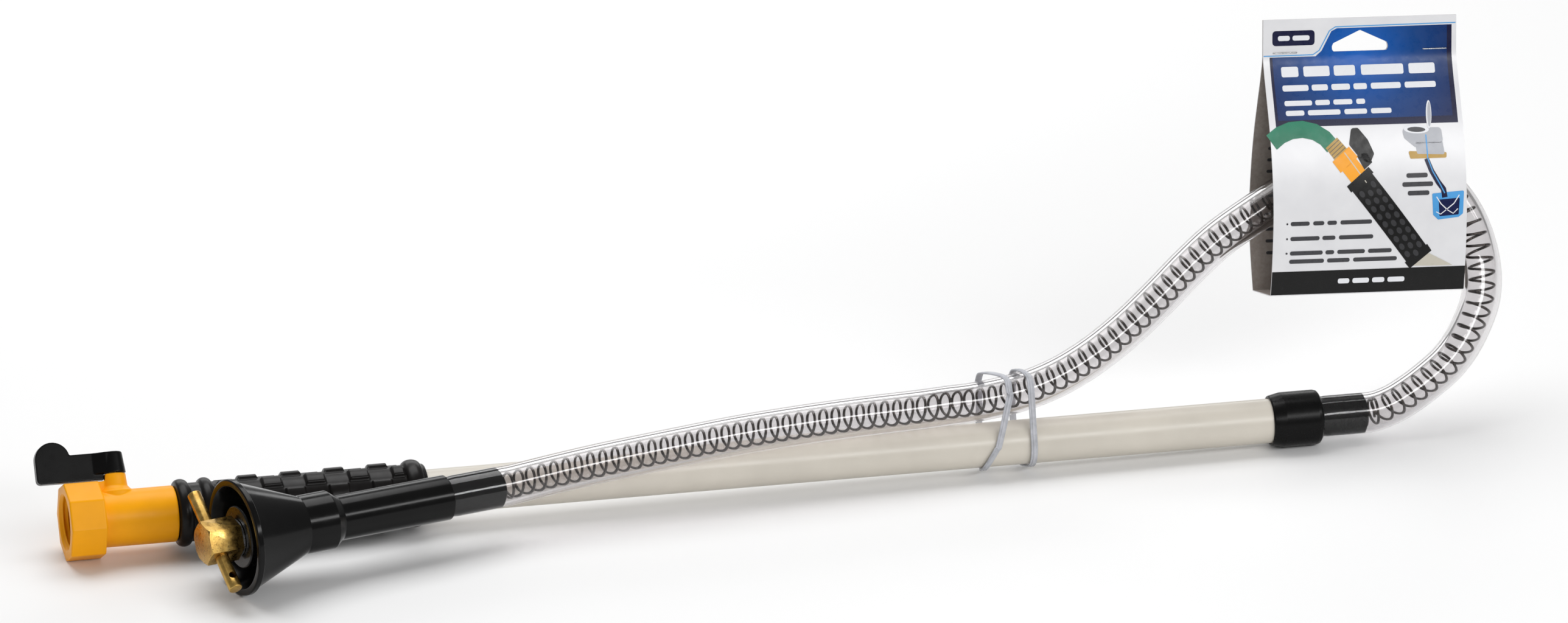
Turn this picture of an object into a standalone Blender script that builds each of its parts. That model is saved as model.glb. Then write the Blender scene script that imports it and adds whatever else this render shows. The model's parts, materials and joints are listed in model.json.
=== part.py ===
"""Tank-rinsing wand: a rigid pipe with a quarter-turn inlet valve and a grip, then a spring-lined
clear hose that loops back along the pipe to a flared nozzle with a free-spinning brass rotor.

Metres, +Z up. The wand rests on the floor at z = 0 with its pipe running along +X. The origin is
under the middle of the bounding box. Positions along the pipe are stations measured from the
inlet face, and positions along the nozzle are stations measured from the flared rim.
"""
import math

import bmesh
import bpy
from mathutils import Vector

MM = 0.001
GAP = 0.3 * MM  # clearance between touching pieces
SIDES = 32  # sides of the larger round pieces
SMALL_SIDES = 20  # sides of small round pieces and bores

# Where the inlet face stands from the origin
INLET_X = -341.4 * MM
INLET_Y = 10.6 * MM

# Rigid pipe
PIPE_R = 10.67 * MM
PIPE_BORE_R = 7.9 * MM
PIPE_START = 39.8 * MM
PIPE_END = 606.0 * MM

# Valve body
OCTAGON_FLATS = 35.0 * MM
OCTAGON_LENGTH = 17.0 * MM
TUBE_R = 13.35 * MM
VALVE_LENGTH = 52.7 * MM
VALVE_ROLL = math.radians(31.0)  # the stem leans to the back
INLET_BORE_R = 12.7 * MM
INLET_DEPTH = 12.5 * MM
WATERWAY_R = 5.5 * MM
STEM_X = 25.4 * MM
SOCKET_SHOULDER = PIPE_START - GAP

# Ball, seats and stem
BALL_R = 8.5 * MM
BALL_BORE_R = 5.0 * MM
BALL_SLOT_WIDTH = 2.6 * MM
BALL_SLOT_DEPTH = 2.2 * MM
CHAMBER_R = 9.5 * MM
SEAT_REACH = 9.4 * MM  # from the ball's centre to a seat's back
SEAT_BORE_R = 5.3 * MM
RETAINER_LENGTH = 3.7 * MM
STEM_R = 3.0 * MM
STEM_FLANGE_R = 4.0 * MM
STEM_FLANGE = (9.2 * MM, 10.2 * MM)
STEM_SHOULDER = 21.0 * MM
STEM_TOP = 28.0 * MM
STEM_SQUARE = 4.2 * MM
TANG_WIDTH = 2.0 * MM
TANG_LENGTH = 5.0 * MM
SEAL_GROOVES = (13.0 * MM, 16.0 * MM)
SEAL_GROOVE_WIDTH = 1.6 * MM
SEAL_GROOVE_R = 2.2 * MM
SEAL_WIDTH = 1.0 * MM
SEAL_CLEARANCE = 0.15 * MM

# Boss round the stem, its stop notch and the web that joins it to the octagon
BOSS_TOP_R = 6.0 * MM
BOSS_ROOT_R = 6.8 * MM
BOSS_HEIGHT = 21.0 * MM
NOTCH_FLOOR = 18.0 * MM
NOTCH_INNER_R = 4.4 * MM
WEB_HALF_WIDTH = 4.0 * MM

# Lever
LEVER_THICKNESS = 5.0 * MM
LEVER_START = -11.3 * MM
LEVER_FOOT = 18.6 * MM
LEVER_TOP = 31.5 * MM
LEVER_DOME_R = 8.4 * MM
LEVER_DOME_TOP = 38.2 * MM
LEVER_CAP_ROOT_R = 6.3 * MM
LEVER_CAP_TOP_R = 5.2 * MM

# Washer in the inlet
WASHER_BORE_R = 7.0 * MM
WASHER_THICKNESS = 3.0 * MM

# Grip
GRIP_START = 53.0 * MM
GRIP_END = 173.5 * MM
GRIP_BEADS = (56.3 * MM, 67.8 * MM, 168.3 * MM)
GRIP_BEAD_HALF = (3.3 * MM, 3.0 * MM, 4.6 * MM)
GRIP_BEAD_R = 16.0 * MM
GRIP_GROOVE_R = 13.9 * MM
GRIP_BODY_R = 14.4 * MM

# Coupling between pipe and hose
COLLAR_START = PIPE_END - 19.5 * MM
COLLAR_LIP_R = 11.6 * MM
COLLAR_R = 13.2 * MM
COLLAR_CHAMFER = 6.0 * MM
COLLAR_SHOULDER = PIPE_END + 3.0 * MM
COLLAR_END = PIPE_END + 5.0 * MM
COLLAR_END_R = 11.2 * MM
COUPLING_END = PIPE_END + 28.0 * MM
COUPLING_BORE_R = 4.8 * MM

# Hose, and the spring that lines it
HOSE_R = 9.525 * MM
HOSE_WALL = 2.5 * MM
HOSE_END_R = HOSE_R + 0.225 * MM  # where it is stretched over a spigot
HOSE_SIDES_SETTING = 4  # curve bevel resolution, which gives 12 sides
HOSE_STEP = 13.0 * MM
HOSE_LEAD = 2.0 * MM  # how far the hose runs straight beyond a spigot
SPIGOT_R = HOSE_END_R - HOSE_WALL - 0.65 * MM
SPRING_R = HOSE_R - HOSE_WALL - 0.525 * MM
SPRING_WIRE_R = 0.6 * MM
SPRING_PITCH = 6.15 * MM

# Nozzle
NOZZLE_YAW = math.radians(13.8)
NOZZLE_PITCH = math.radians(0.47)
NOZZLE_RIM_X = 69.4 * MM  # from the inlet face
NOZZLE_RIM_Y = -57.2 * MM
RIM_R = 27.75 * MM
RIM_BORE_R = 24.6 * MM
RIM_LIP = 3.0 * MM
CONE_LENGTH = 34.0 * MM
NECK_R = 14.1 * MM
NECK_END = 49.0 * MM
BARREL_START = 53.5 * MM
BARREL_R = 10.75 * MM
BARREL_END = 111.0 * MM
NOZZLE_END = 139.5 * MM
BELL_WALL = 2.8 * MM
BELL_FLOOR = 18.0 * MM
HUB_SEAT_R = 15.0 * MM
HUB_SEAT_FACE = 6.3 * MM
BUSHING_SOCKET_R = 8.3 * MM
BUSHING_SOCKET_END = 27.0 * MM
CLIP_CHAMBER_R = 7.4 * MM
CLIP_CHAMBER_END = 35.0 * MM
NOZZLE_BORE_R = 4.5 * MM

# Rotor
BUSHING_FACE = 2.0 * MM
ROTOR_SHAFT_R = 5.0 * MM
ROTOR_SHAFT_END = 30.5 * MM
ROTOR_BORE_R = 2.6 * MM
HEX_FLATS = 18.3 * MM
HEX_FACE = -16.2 * MM
HEX_END = 0.5 * MM
HEX_TURN = math.radians(-7.0)
HEX_CHAMFER = 1.0 * MM
ARM_STATION = -10.0 * MM
ARM_TURN = math.radians(55.0)
ARM_R = 3.25 * MM
ARM_HALF_LENGTH = 27.4 * MM
ARM_BORE_R = 2.1 * MM
ARM_END_WALL = 2.5 * MM
JET_R = 1.75 * MM
JET_FROM_END = 6.2 * MM
CLIP_THICKNESS = 0.8 * MM
CLIP_R = 6.6 * MM
CLIP_GROOVE_R = 4.2 * MM
CLIP_STATION = 28.3 * MM

# Tie round hose and pipe
TIE_STATIONS = (450.6 * MM, 464.5 * MM)
TIE_WIDTH = 3.2 * MM
TIE_THICKNESS = 0.9 * MM
TIE_CLEARANCE = 0.8 * MM

# Header card that hangs on the hose
CARD_WIDTH = 98.0 * MM
CARD_HEIGHT = 131.0 * MM
CARD_BELOW_HOSE = 61.0 * MM
CARD_THICKNESS = 0.5 * MM
CARD_AHEAD = 0.5 * MM  # how far its middle plane stands before the hose's centre
CARD_LEFT = 2.0 * MM  # how far its middle stands to the left of the hose's peak
CARD_YAW = math.radians(5.4)
CARD_LEAN = math.radians(15.0)
CARD_ROLL = math.radians(5.2)
CARD_SPREAD = HOSE_R - 9.525 * MM  # the panels below were chosen round this hose
# Share of the height, then how far the front and the back panel stand from the middle plane
CARD_SHAPE = (
    (0.0, 12.5 * MM, 12.5 * MM),
    (0.1, 14.6 * MM, 15.5 * MM),
    (0.2, 15.9 * MM, 17.6 * MM),
    (0.3, 16.4 * MM, 18.2 * MM),
    (0.4, 15.6 * MM, 17.0 * MM),
    (0.5, 13.6 * MM, 14.7 * MM),
    (0.6, 10.6 * MM, 11.4 * MM),
    (0.7, 6.6 * MM, 7.0 * MM),
    (0.8, 2.4 * MM, 2.6 * MM),
    (0.87, 0.45 * MM, 0.45 * MM),
    (1.0, 0.45 * MM, 0.45 * MM),
)
HANG_HOLE_BELOW_TOP = CARD_HEIGHT * 16 / 131
HANG_HOLE_WIDTH = 27.0 * MM
HANG_HOLE_HEIGHT = 9.5 * MM
STAPLE_BELOW_TOP = CARD_HEIGHT * 16 / 131
STAPLE_FROM_MIDDLE = 38.0 * MM
STAPLE_LENGTH = 12.0 * MM
STAPLE_WIRE = 0.6 * MM

# The hose's route between the two spigots: station from the inlet face, distance behind the
# pipe's axis, height above the floor. The peak is the point that the card hangs on. A longer pipe
# stretches the route between these two stations.
ROUTE_FROM = 0.2180
ROUTE_TO = 0.6340
ROUTE_PIPE_END = 0.6060
HOSE_PEAK = (0.6425, 0.0408, 0.1250)
HOSE_ROUTE = (
    (0.6470, 0.0008, 0.0154),
    (0.6570, 0.0023, 0.0199),
    (0.6667, 0.0045, 0.0253),
    (0.6762, 0.0070, 0.0317),
    (0.6840, 0.0098, 0.0395),
    (0.6903, 0.0132, 0.0486),
    (0.6952, 0.0170, 0.0585),
    (0.6972, 0.0214, 0.0688),
    (0.6966, 0.0264, 0.0800),
    (0.6932, 0.0317, 0.0925),
    (0.6868, 0.0360, 0.1040),
    (0.6765, 0.0391, 0.1150),
    (0.6610, 0.0404, 0.1225),
    HOSE_PEAK,
    (0.6240, 0.0394, 0.1223),
    (0.6060, 0.0372, 0.1155),
    (0.5883, 0.0344, 0.1070),
    (0.5690, 0.0305, 0.0968),
    (0.5532, 0.0263, 0.0858),
    (0.5372, 0.0215, 0.0732),
    (0.5214, 0.0171, 0.0615),
    (0.5057, 0.0136, 0.0516),
    (0.4902, 0.0110, 0.0439),
    (0.4750, 0.0090, 0.0388),
    (0.4600, 0.0074, 0.0361),
    (0.4430, 0.0055, 0.0349),
    (0.4290, 0.0031, 0.0354),
    (0.4136, 0.0004, 0.0358),
    (0.3836, -0.0020, 0.0360),
    (0.3533, -0.0050, 0.0358),
    (0.3230, -0.0083, 0.0350),
    (0.2925, -0.0120, 0.0333),
    (0.2622, -0.0150, 0.0311),
    (0.2460, -0.0167, 0.0297),
    (0.2319, -0.0185, 0.0284),
    (0.2180, -0.0208, 0.0272),
)


# ---------------------------------------------------------------- shared helpers


def on_route(point):
    """A point of the hose's route in world space, stretched with the pipe."""
    share = min(1.0, (point[0] - ROUTE_FROM) / (ROUTE_TO - ROUTE_FROM))
    stretch = (PIPE_END - ROUTE_PIPE_END) * share
    return Vector(point) + Vector((INLET_X + stretch, INLET_Y, 0))


def clear_scene():
    for obj in list(bpy.data.objects):
        bpy.data.objects.remove(obj, do_unlink=True)


def finish(name, color, roughness, metallic=0.0, alpha=1.0):
    """A Principled material of one colour."""
    material = bpy.data.materials.new(name)
    material.use_nodes = True
    shader = material.node_tree.nodes["Principled BSDF"]
    shader.inputs["Base Color"].default_value = (*color, 1.0)
    shader.inputs["Roughness"].default_value = roughness
    shader.inputs["Metallic"].default_value = metallic
    shader.inputs["Alpha"].default_value = alpha
    return material


def empty(name, parent=None, location=(0, 0, 0), rotation=(0, 0, 0), order="XYZ"):
    """A reference frame for the pieces that are measured from it."""
    obj = bpy.data.objects.new(name, None)
    bpy.context.scene.collection.objects.link(obj)
    obj.parent = parent
    obj.rotation_mode = order
    obj.location = location
    obj.rotation_euler = rotation
    return obj


def piece(name, shape, parent, material=None, location=(0, 0, 0), rotation=(0, 0, 0)):
    """An object of this bmesh under its parent's frame; without a material it is a cutter."""
    bmesh.ops.recalc_face_normals(shape, faces=shape.faces)
    mesh = bpy.data.meshes.new(name)
    shape.to_mesh(mesh)
    shape.free()
    mesh.shade_smooth()
    mesh.set_sharp_from_angle(angle=math.radians(35))
    obj = bpy.data.objects.new(name, mesh)
    bpy.context.scene.collection.objects.link(obj)
    obj.parent = parent
    obj.location = location
    obj.rotation_euler = rotation
    if material is None:
        obj.hide_render = True
        obj.display_type = "WIRE"
    else:
        mesh.materials.append(material)
    return obj


def boolean(obj, other, operation="DIFFERENCE"):
    modifier = obj.modifiers.new(operation.title() + " " + other.name, "BOOLEAN")
    modifier.operation = operation
    modifier.object = other
    modifier.solver = "EXACT"


def turned(outline, sides=SIDES, axis=(1, 0, 0), up=(0, 0, 1)):
    """A closed outline of (station, radius) points turned about the axis."""
    shape = bmesh.new()
    along, out = Vector(axis), Vector(up)
    corners = [shape.verts.new(along * s + out * r) for s, r in outline]
    edges = [
        shape.edges.new((corners[i - 1], corners[i]))
        for i in range(len(corners))
        if outline[i - 1][1] > 0 or outline[i][1] > 0
    ]
    bmesh.ops.spin(
        shape, geom=corners + edges, cent=(0, 0, 0), axis=along,
        angle=2 * math.pi, steps=sides, use_merge=True,
    )
    bmesh.ops.remove_doubles(shape, verts=shape.verts, dist=1e-7)
    return shape


def rod(start, end, radius, sides=SMALL_SIDES, end_radius=None, axis=(1, 0, 0), up=(0, 0, 1)):
    """A solid cylinder or cone along the axis."""
    last = radius if end_radius is None else end_radius
    return turned([(start, 0), (start, radius), (end, last), (end, 0)], sides, axis, up)


def extruded(outline, depth, origin=(0, 0, 0), u=(1, 0, 0), v=(0, 0, 1), along=(0, 1, 0)):
    """A closed outline in the u and v directions, extruded both ways by half the depth."""
    shape = bmesh.new()
    origin, u, v, along = Vector(origin), Vector(u), Vector(v), Vector(along)
    rim = [shape.verts.new(origin + u * a + v * b - along * (depth / 2)) for a, b in outline]
    face = shape.faces.new(rim)
    grown = bmesh.ops.extrude_face_region(shape, geom=[face])
    moved = [g for g in grown["geom"] if isinstance(g, bmesh.types.BMVert)]
    bmesh.ops.translate(shape, verts=moved, vec=along * depth)
    return shape


def block(low, high):
    shape = bmesh.new()
    bmesh.ops.create_cube(shape, size=1.0)
    low, high = Vector(low), Vector(high)
    for vert in shape.verts:
        share = vert.co + Vector((0.5, 0.5, 0.5))
        vert.co = low + Vector(share[i] * (high[i] - low[i]) for i in range(3))
    return shape


def arc(center, radius, start, end, steps):
    """Points of a circular arc, with its angles in radians."""
    return [
        (
            center[0] + radius * math.cos(start + (end - start) * i / steps),
            center[1] + radius * math.sin(start + (end - start) * i / steps),
        )
        for i in range(steps + 1)
    ]


# ---------------------------------------------------------------- reference frames


def octagon_reach():
    """How far the rolled octagon reaches straight down from the pipe's axis."""
    corner_r = OCTAGON_FLATS / 2 / math.cos(math.pi / 8)
    return corner_r * math.cos(VALVE_ROLL - math.pi / 8)


def wand_frame():
    """X along the pipe's axis from the inlet face: it rests on the octagon and the collar."""
    reach = octagon_reach()
    tilt = math.atan2(reach - COLLAR_R, COLLAR_SHOULDER - OCTAGON_LENGTH)
    height = OCTAGON_LENGTH * math.sin(tilt) + reach * math.cos(tilt)
    return empty("wand_frame", None, (INLET_X, INLET_Y, height), (0, tilt, 0))


def nozzle_frame():
    """X along the nozzle from the rim to the hose: the rim's lip rests on the floor."""
    height = RIM_R * math.cos(NOZZLE_PITCH) + RIM_LIP * math.sin(NOZZLE_PITCH)
    location = (INLET_X + NOZZLE_RIM_X, INLET_Y + NOZZLE_RIM_Y, height)
    return empty("nozzle_frame", None, location, (0, NOZZLE_PITCH, NOZZLE_YAW))


def card_frame():
    """X across the card, Y to its back, Z up it, with the origin on the hose's centre."""
    return empty("card_frame", None, on_route(HOSE_PEAK), (-CARD_LEAN, CARD_ROLL, CARD_YAW), "YXZ")


# ---------------------------------------------------------------- inlet valve


def valve_body(frame, plastic):
    body = piece(
        "valve_body",
        rod(OCTAGON_LENGTH / 2, VALVE_LENGTH, TUBE_R, SIDES),
        frame, plastic,
    )
    corner_r = OCTAGON_FLATS / 2 / math.cos(math.pi / 8)
    octagon = [
        (corner_r * math.cos(math.pi * (2 * i + 1) / 8), corner_r * math.sin(math.pi * (2 * i + 1) / 8))
        for i in range(8)
    ]
    nut = extruded(octagon, OCTAGON_LENGTH, (OCTAGON_LENGTH / 2, 0, 0), (0, 1, 0), (0, 0, 1), (1, 0, 0))
    boolean(body, piece("octagon_solid", nut, frame), "UNION")

    boss = rod(TUBE_R * 0.6, BOSS_HEIGHT, BOSS_ROOT_R, 24, BOSS_TOP_R, (0, 0, 1), (1, 0, 0))
    boolean(body, piece("boss_solid", boss, frame, location=(STEM_X, 0, 0)), "UNION")
    web = block(
        (OCTAGON_LENGTH - 1 * MM, -WEB_HALF_WIDTH, TUBE_R * 0.6),
        (STEM_X, WEB_HALF_WIDTH, NOTCH_FLOOR - GAP),
    )
    boolean(body, piece("web_solid", web, frame), "UNION")

    chamber_start = STEM_X - SEAT_REACH - GAP
    bore = turned(
        [
            (-5 * MM, 0), (-5 * MM, INLET_BORE_R), (INLET_DEPTH, INLET_BORE_R),
            (INLET_DEPTH, WATERWAY_R), (chamber_start, WATERWAY_R), (chamber_start, CHAMBER_R),
            (SOCKET_SHOULDER, CHAMBER_R), (SOCKET_SHOULDER, PIPE_R + GAP),
            (VALVE_LENGTH + 5 * MM, PIPE_R + GAP), (VALVE_LENGTH + 5 * MM, 0),
        ],
        SIDES,
    )
    boolean(body, piece("bore_cutter", bore, frame))
    flange_top = STEM_FLANGE[1] + GAP
    stem_hole = turned(
        [
            (0, 0), (0, STEM_FLANGE_R + GAP), (flange_top, STEM_FLANGE_R + GAP),
            (flange_top, STEM_R + GAP), (BOSS_HEIGHT + 5 * MM, STEM_R + GAP),
            (BOSS_HEIGHT + 5 * MM, 0),
        ],
        SMALL_SIDES, (0, 0, 1), (1, 0, 0),
    )
    boolean(body, piece("stem_hole_cutter", stem_hole, frame, location=(STEM_X, 0, 0)))

    # A quarter turn from -X to +Y, and half the lever's thickness beyond each end
    spare = math.asin((LEVER_THICKNESS / 2 + GAP) / NOTCH_INNER_R)
    outer = arc((0, 0), BOSS_ROOT_R + 3 * MM, math.pi + spare, math.pi / 2 - spare, 8)
    inner = arc((0, 0), NOTCH_INNER_R, math.pi / 2 - spare, math.pi + spare, 8)
    depth = BOSS_HEIGHT + 2 * MM - NOTCH_FLOOR
    notch = extruded(
        outer + inner, depth, (STEM_X, 0, NOTCH_FLOOR + depth / 2), (1, 0, 0), (0, 1, 0), (0, 0, 1)
    )
    boolean(body, piece("notch_cutter", notch, frame))
    return body


def seat_ring(name, frame, material, side):
    """A seat on one side of the ball: its cone clears the ball by a gap. side is -1 or 1."""
    cone = math.sqrt(2) * (BALL_R + 0.35 * MM)  # station plus radius along the cone
    outer_r = CHAMBER_R - GAP
    outline = [
        (STEM_X + side * a, r)
        for a, r in (
            (SEAT_REACH, SEAT_BORE_R), (SEAT_REACH, outer_r),
            (cone - outer_r, outer_r), (cone - SEAT_BORE_R, SEAT_BORE_R),
        )
    ]
    return piece(name, turned(outline, 24), frame, material)


def valve_inside(frame, rubber, seat_plastic, retainer_plastic):
    washer_back = INLET_DEPTH - GAP
    washer = [
        (washer_back - WASHER_THICKNESS, WASHER_BORE_R),
        (washer_back - WASHER_THICKNESS, INLET_BORE_R - GAP),
        (washer_back, INLET_BORE_R - GAP),
        (washer_back, WASHER_BORE_R),
    ]
    piece("inlet_washer", turned(washer, 24), frame, rubber)
    seat_ring("front_ball_seat", frame, seat_plastic, -1)
    seat_ring("rear_ball_seat", frame, seat_plastic, 1)
    start = STEM_X + SEAT_REACH + GAP
    retainer = [
        (start, WATERWAY_R), (start, CHAMBER_R - GAP),
        (start + RETAINER_LENGTH, CHAMBER_R - GAP), (start + RETAINER_LENGTH, WATERWAY_R),
    ]
    piece("seat_retainer", turned(retainer, 24), frame, retainer_plastic)


def valve_ball(stem_frame, material):
    """The ball, centred on the stem's axis, with its bore along X and its slot on top."""
    shape = bmesh.new()
    bmesh.ops.create_uvsphere(shape, u_segments=24, v_segments=14, radius=BALL_R)
    ball = piece("valve_ball", shape, stem_frame, material)
    bore = rod(-BALL_R - 2 * MM, BALL_R + 2 * MM, BALL_BORE_R)
    boolean(ball, piece("ball_bore_cutter", bore, stem_frame))
    slot = block(
        (-BALL_R, -BALL_SLOT_WIDTH / 2, BALL_R - BALL_SLOT_DEPTH),
        (BALL_R, BALL_SLOT_WIDTH / 2, BALL_R + 2 * MM),
    )
    boolean(ball, piece("ball_slot_cutter", slot, stem_frame))


def valve_stem(stem_frame, brass, rubber):
    outline = [(STEM_FLANGE[0], 0), (STEM_FLANGE[0], STEM_FLANGE_R), (STEM_FLANGE[1], STEM_FLANGE_R)]
    outline.append((STEM_FLANGE[1], STEM_R))
    for middle in SEAL_GROOVES:
        low, high = middle - SEAL_GROOVE_WIDTH / 2, middle + SEAL_GROOVE_WIDTH / 2
        outline += [(low, STEM_R), (low, SEAL_GROOVE_R), (high, SEAL_GROOVE_R), (high, STEM_R)]
    outline += [(STEM_SHOULDER, STEM_R), (STEM_SHOULDER, 0)]
    stem = piece("valve_stem", turned(outline, SMALL_SIDES, (0, 0, 1), (1, 0, 0)), stem_frame, brass)
    half = STEM_SQUARE / 2
    square = block((-half, -half, STEM_SHOULDER - 1 * MM), (half, half, STEM_TOP))
    boolean(stem, piece("stem_square_solid", square, stem_frame), "UNION")
    tang = block(
        (-TANG_LENGTH / 2, -TANG_WIDTH / 2, BALL_R - BALL_SLOT_DEPTH + GAP),
        (TANG_LENGTH / 2, TANG_WIDTH / 2, STEM_FLANGE[0] + 0.5 * MM),
    )
    boolean(stem, piece("stem_tang_solid", tang, stem_frame), "UNION")
    for name, middle in zip(("lower_stem_seal", "upper_stem_seal"), SEAL_GROOVES):
        inner, outer = SEAL_GROOVE_R + SEAL_CLEARANCE, STEM_R + GAP - SEAL_CLEARANCE
        ring = arc((middle, (inner + outer) / 2), (outer - inner) / 2, 0, 2 * math.pi * 7 / 8, 7)
        piece(name, turned(ring, SMALL_SIDES, (0, 0, 1), (1, 0, 0)), stem_frame, rubber)


def valve_lever(stem_frame, plastic):
    """A flat lever that lies along the inlet, with a thumb dome and a cap over the stem."""
    start = LEVER_START - STEM_X
    dome_x = start + LEVER_DOME_R
    dome_z = LEVER_DOME_TOP - LEVER_DOME_R
    meet = math.asin((LEVER_TOP - dome_z) / LEVER_DOME_R)
    tab_end = -NOTCH_INNER_R - GAP
    outline = arc((dome_x, dome_z), LEVER_DOME_R, meet, math.pi, 8)
    outline += arc((start + 3 * MM, LEVER_FOOT + 3 * MM), 3 * MM, math.pi, 1.5 * math.pi, 3)
    outline += [(tab_end, LEVER_FOOT), (tab_end, BOSS_HEIGHT + GAP)]
    outline += [(0, BOSS_HEIGHT + GAP), (0, LEVER_TOP)]
    lever = piece("valve_lever", extruded(outline, LEVER_THICKNESS), stem_frame, plastic)
    cap = rod(
        BOSS_HEIGHT + GAP, LEVER_TOP, LEVER_CAP_ROOT_R, 24, LEVER_CAP_TOP_R, (0, 0, 1), (1, 0, 0)
    )
    boolean(lever, piece("lever_cap_solid", cap, stem_frame), "UNION")
    half = STEM_SQUARE / 2 + GAP
    socket = block((-half, -half, BOSS_HEIGHT - 2 * MM), (half, half, STEM_TOP + GAP))
    boolean(lever, piece("lever_socket_cutter", socket, stem_frame))


# ---------------------------------------------------------------- pipe, grip and coupling


def rigid_pipe(frame, plastic):
    outline = [
        (PIPE_START, PIPE_BORE_R), (PIPE_START, PIPE_R), (PIPE_END, PIPE_R), (PIPE_END, PIPE_BORE_R),
    ]
    piece("rigid_pipe", turned(outline), frame, plastic)


def handle_grip(frame, rubber):
    """A sleeve with two beads at the valve, one at the far end, and a thicker body between."""
    bore_r = PIPE_R + GAP
    outline = [(GRIP_END, bore_r), (GRIP_START, bore_r), (GRIP_START, GRIP_GROOVE_R)]
    for index, (middle, half) in enumerate(zip(GRIP_BEADS, GRIP_BEAD_HALF)):
        root_r = GRIP_GROOVE_R if index < 2 else GRIP_BODY_R
        rise = GRIP_BEAD_R - root_r
        outline += [
            (middle - half * math.cos(a), root_r + rise * math.sin(a))
            for a in (math.pi * i / 6 for i in range(1, 6))
        ]
        if index == 1:
            outline += [(middle + half, GRIP_GROOVE_R), (middle + half + 2 * MM, GRIP_BODY_R)]
            outline.append((GRIP_BEADS[2] - GRIP_BEAD_HALF[2], GRIP_BODY_R))
        elif index == 0:
            outline += [(middle + half, GRIP_GROOVE_R), (GRIP_BEADS[1] - GRIP_BEAD_HALF[1], GRIP_GROOVE_R)]
    outline.append((GRIP_END, GRIP_BODY_R))
    piece("handle_grip", turned(outline), frame, rubber)


def hose_coupling(frame, plastic):
    outline = [
        (COLLAR_START, PIPE_R + GAP), (COLLAR_START, COLLAR_LIP_R),
        (COLLAR_START + COLLAR_CHAMFER, COLLAR_R), (COLLAR_SHOULDER, COLLAR_R),
        (COLLAR_SHOULDER + (COLLAR_END - COLLAR_SHOULDER) * 0.7, COLLAR_R - 0.8 * MM),
        (COLLAR_END, COLLAR_END_R), (COLLAR_END, SPIGOT_R),
        (COUPLING_END - 1 * MM, SPIGOT_R), (COUPLING_END, SPIGOT_R - 0.6 * MM),
        (COUPLING_END, COUPLING_BORE_R),
        (PIPE_END + GAP, COUPLING_BORE_R), (PIPE_END + GAP, PIPE_R + GAP),
    ]
    piece("hose_coupling", turned(outline), frame, plastic)


# ---------------------------------------------------------------- hose and spring


def smooth_route(points, step):
    """Points about a step apart on a Catmull-Rom curve, from the second point to the last but one."""
    fine = []
    for a, b, c, d in zip(points, points[1:], points[2:], points[3:]):
        for i in range(16):
            t = i / 16
            fine.append(
                0.5 * (2 * b + (c - a) * t + (2 * a - 5 * b + 4 * c - d) * t**2
                       + (3 * b - a - 3 * c + d) * t**3)
            )
    fine.append(points[-2])
    along = [0.0]
    for a, b in zip(fine, fine[1:]):
        along.append(along[-1] + (b - a).length)
    count = max(2, round(along[-1] / step))
    even, at = [], 0
    for i in range(count + 1):
        target = along[-1] * i / count
        while at < len(along) - 2 and along[at + 1] < target:
            at += 1
        share = (target - along[at]) / (along[at + 1] - along[at])
        even.append(fine[at].lerp(fine[at + 1], min(1.0, share)))
    return even


def hose_line(wand, nozzle, step):
    """The hose's centre line in world space, with both its ends on their spigots' axes."""
    bpy.context.view_layer.update()

    def on_pipe(station):
        return wand.matrix_world @ Vector((station, 0, 0))

    def on_nozzle(station):
        return nozzle.matrix_world @ Vector((station, 0, 0))

    route = [on_pipe(COUPLING_END - step), on_pipe(COUPLING_END + HOSE_LEAD)]
    route += [on_route(p) for p in HOSE_ROUTE]
    route += [on_nozzle(NOZZLE_END + HOSE_LEAD), on_nozzle(NOZZLE_END - step)]
    middle = smooth_route(route, step)
    return [on_pipe(COLLAR_END + GAP)] + middle + [on_nozzle(BARREL_END + GAP)]


def tube(name, points, radii, wall, material, sides_setting):
    """A hollow tube along the points: an open bevelled curve thickened inwards."""
    curve = bpy.data.curves.new(name, "CURVE")
    curve.dimensions = "3D"
    curve.bevel_depth = 1.0
    curve.bevel_resolution = sides_setting
    spline = curve.splines.new("POLY")
    spline.points.add(len(points) - 1)
    for spot, point, radius in zip(spline.points, points, radii):
        spot.co = (*point, 1.0)
        spot.radius = radius
    curve.materials.append(material)
    obj = bpy.data.objects.new(name, curve)
    bpy.context.scene.collection.objects.link(obj)
    shell = obj.modifiers.new("Wall", "SOLIDIFY")
    shell.thickness = wall
    shell.offset = -1.0
    shell.use_even_offset = True
    return obj


def hose_and_spring(line, vinyl, steel):
    radii = [HOSE_END_R] * 2 + [HOSE_R] * (len(line) - 4) + [HOSE_END_R] * 2
    tube("flexible_hose", line, radii, HOSE_WALL, vinyl, HOSE_SIDES_SETTING)

    # The sleeve holds as much steel as the real coil of round wire
    turn = math.hypot(2 * math.pi * (SPRING_R - SPRING_WIRE_R), SPRING_PITCH)
    steel_area = math.pi * SPRING_WIRE_R**2 * turn / SPRING_PITCH
    wall = steel_area / (2 * math.pi * SPRING_R)
    inside = line[1:-1]
    tube("hose_spring", inside, [SPRING_R] * len(inside), wall, steel, 2)


# ---------------------------------------------------------------- nozzle and rotor


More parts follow.
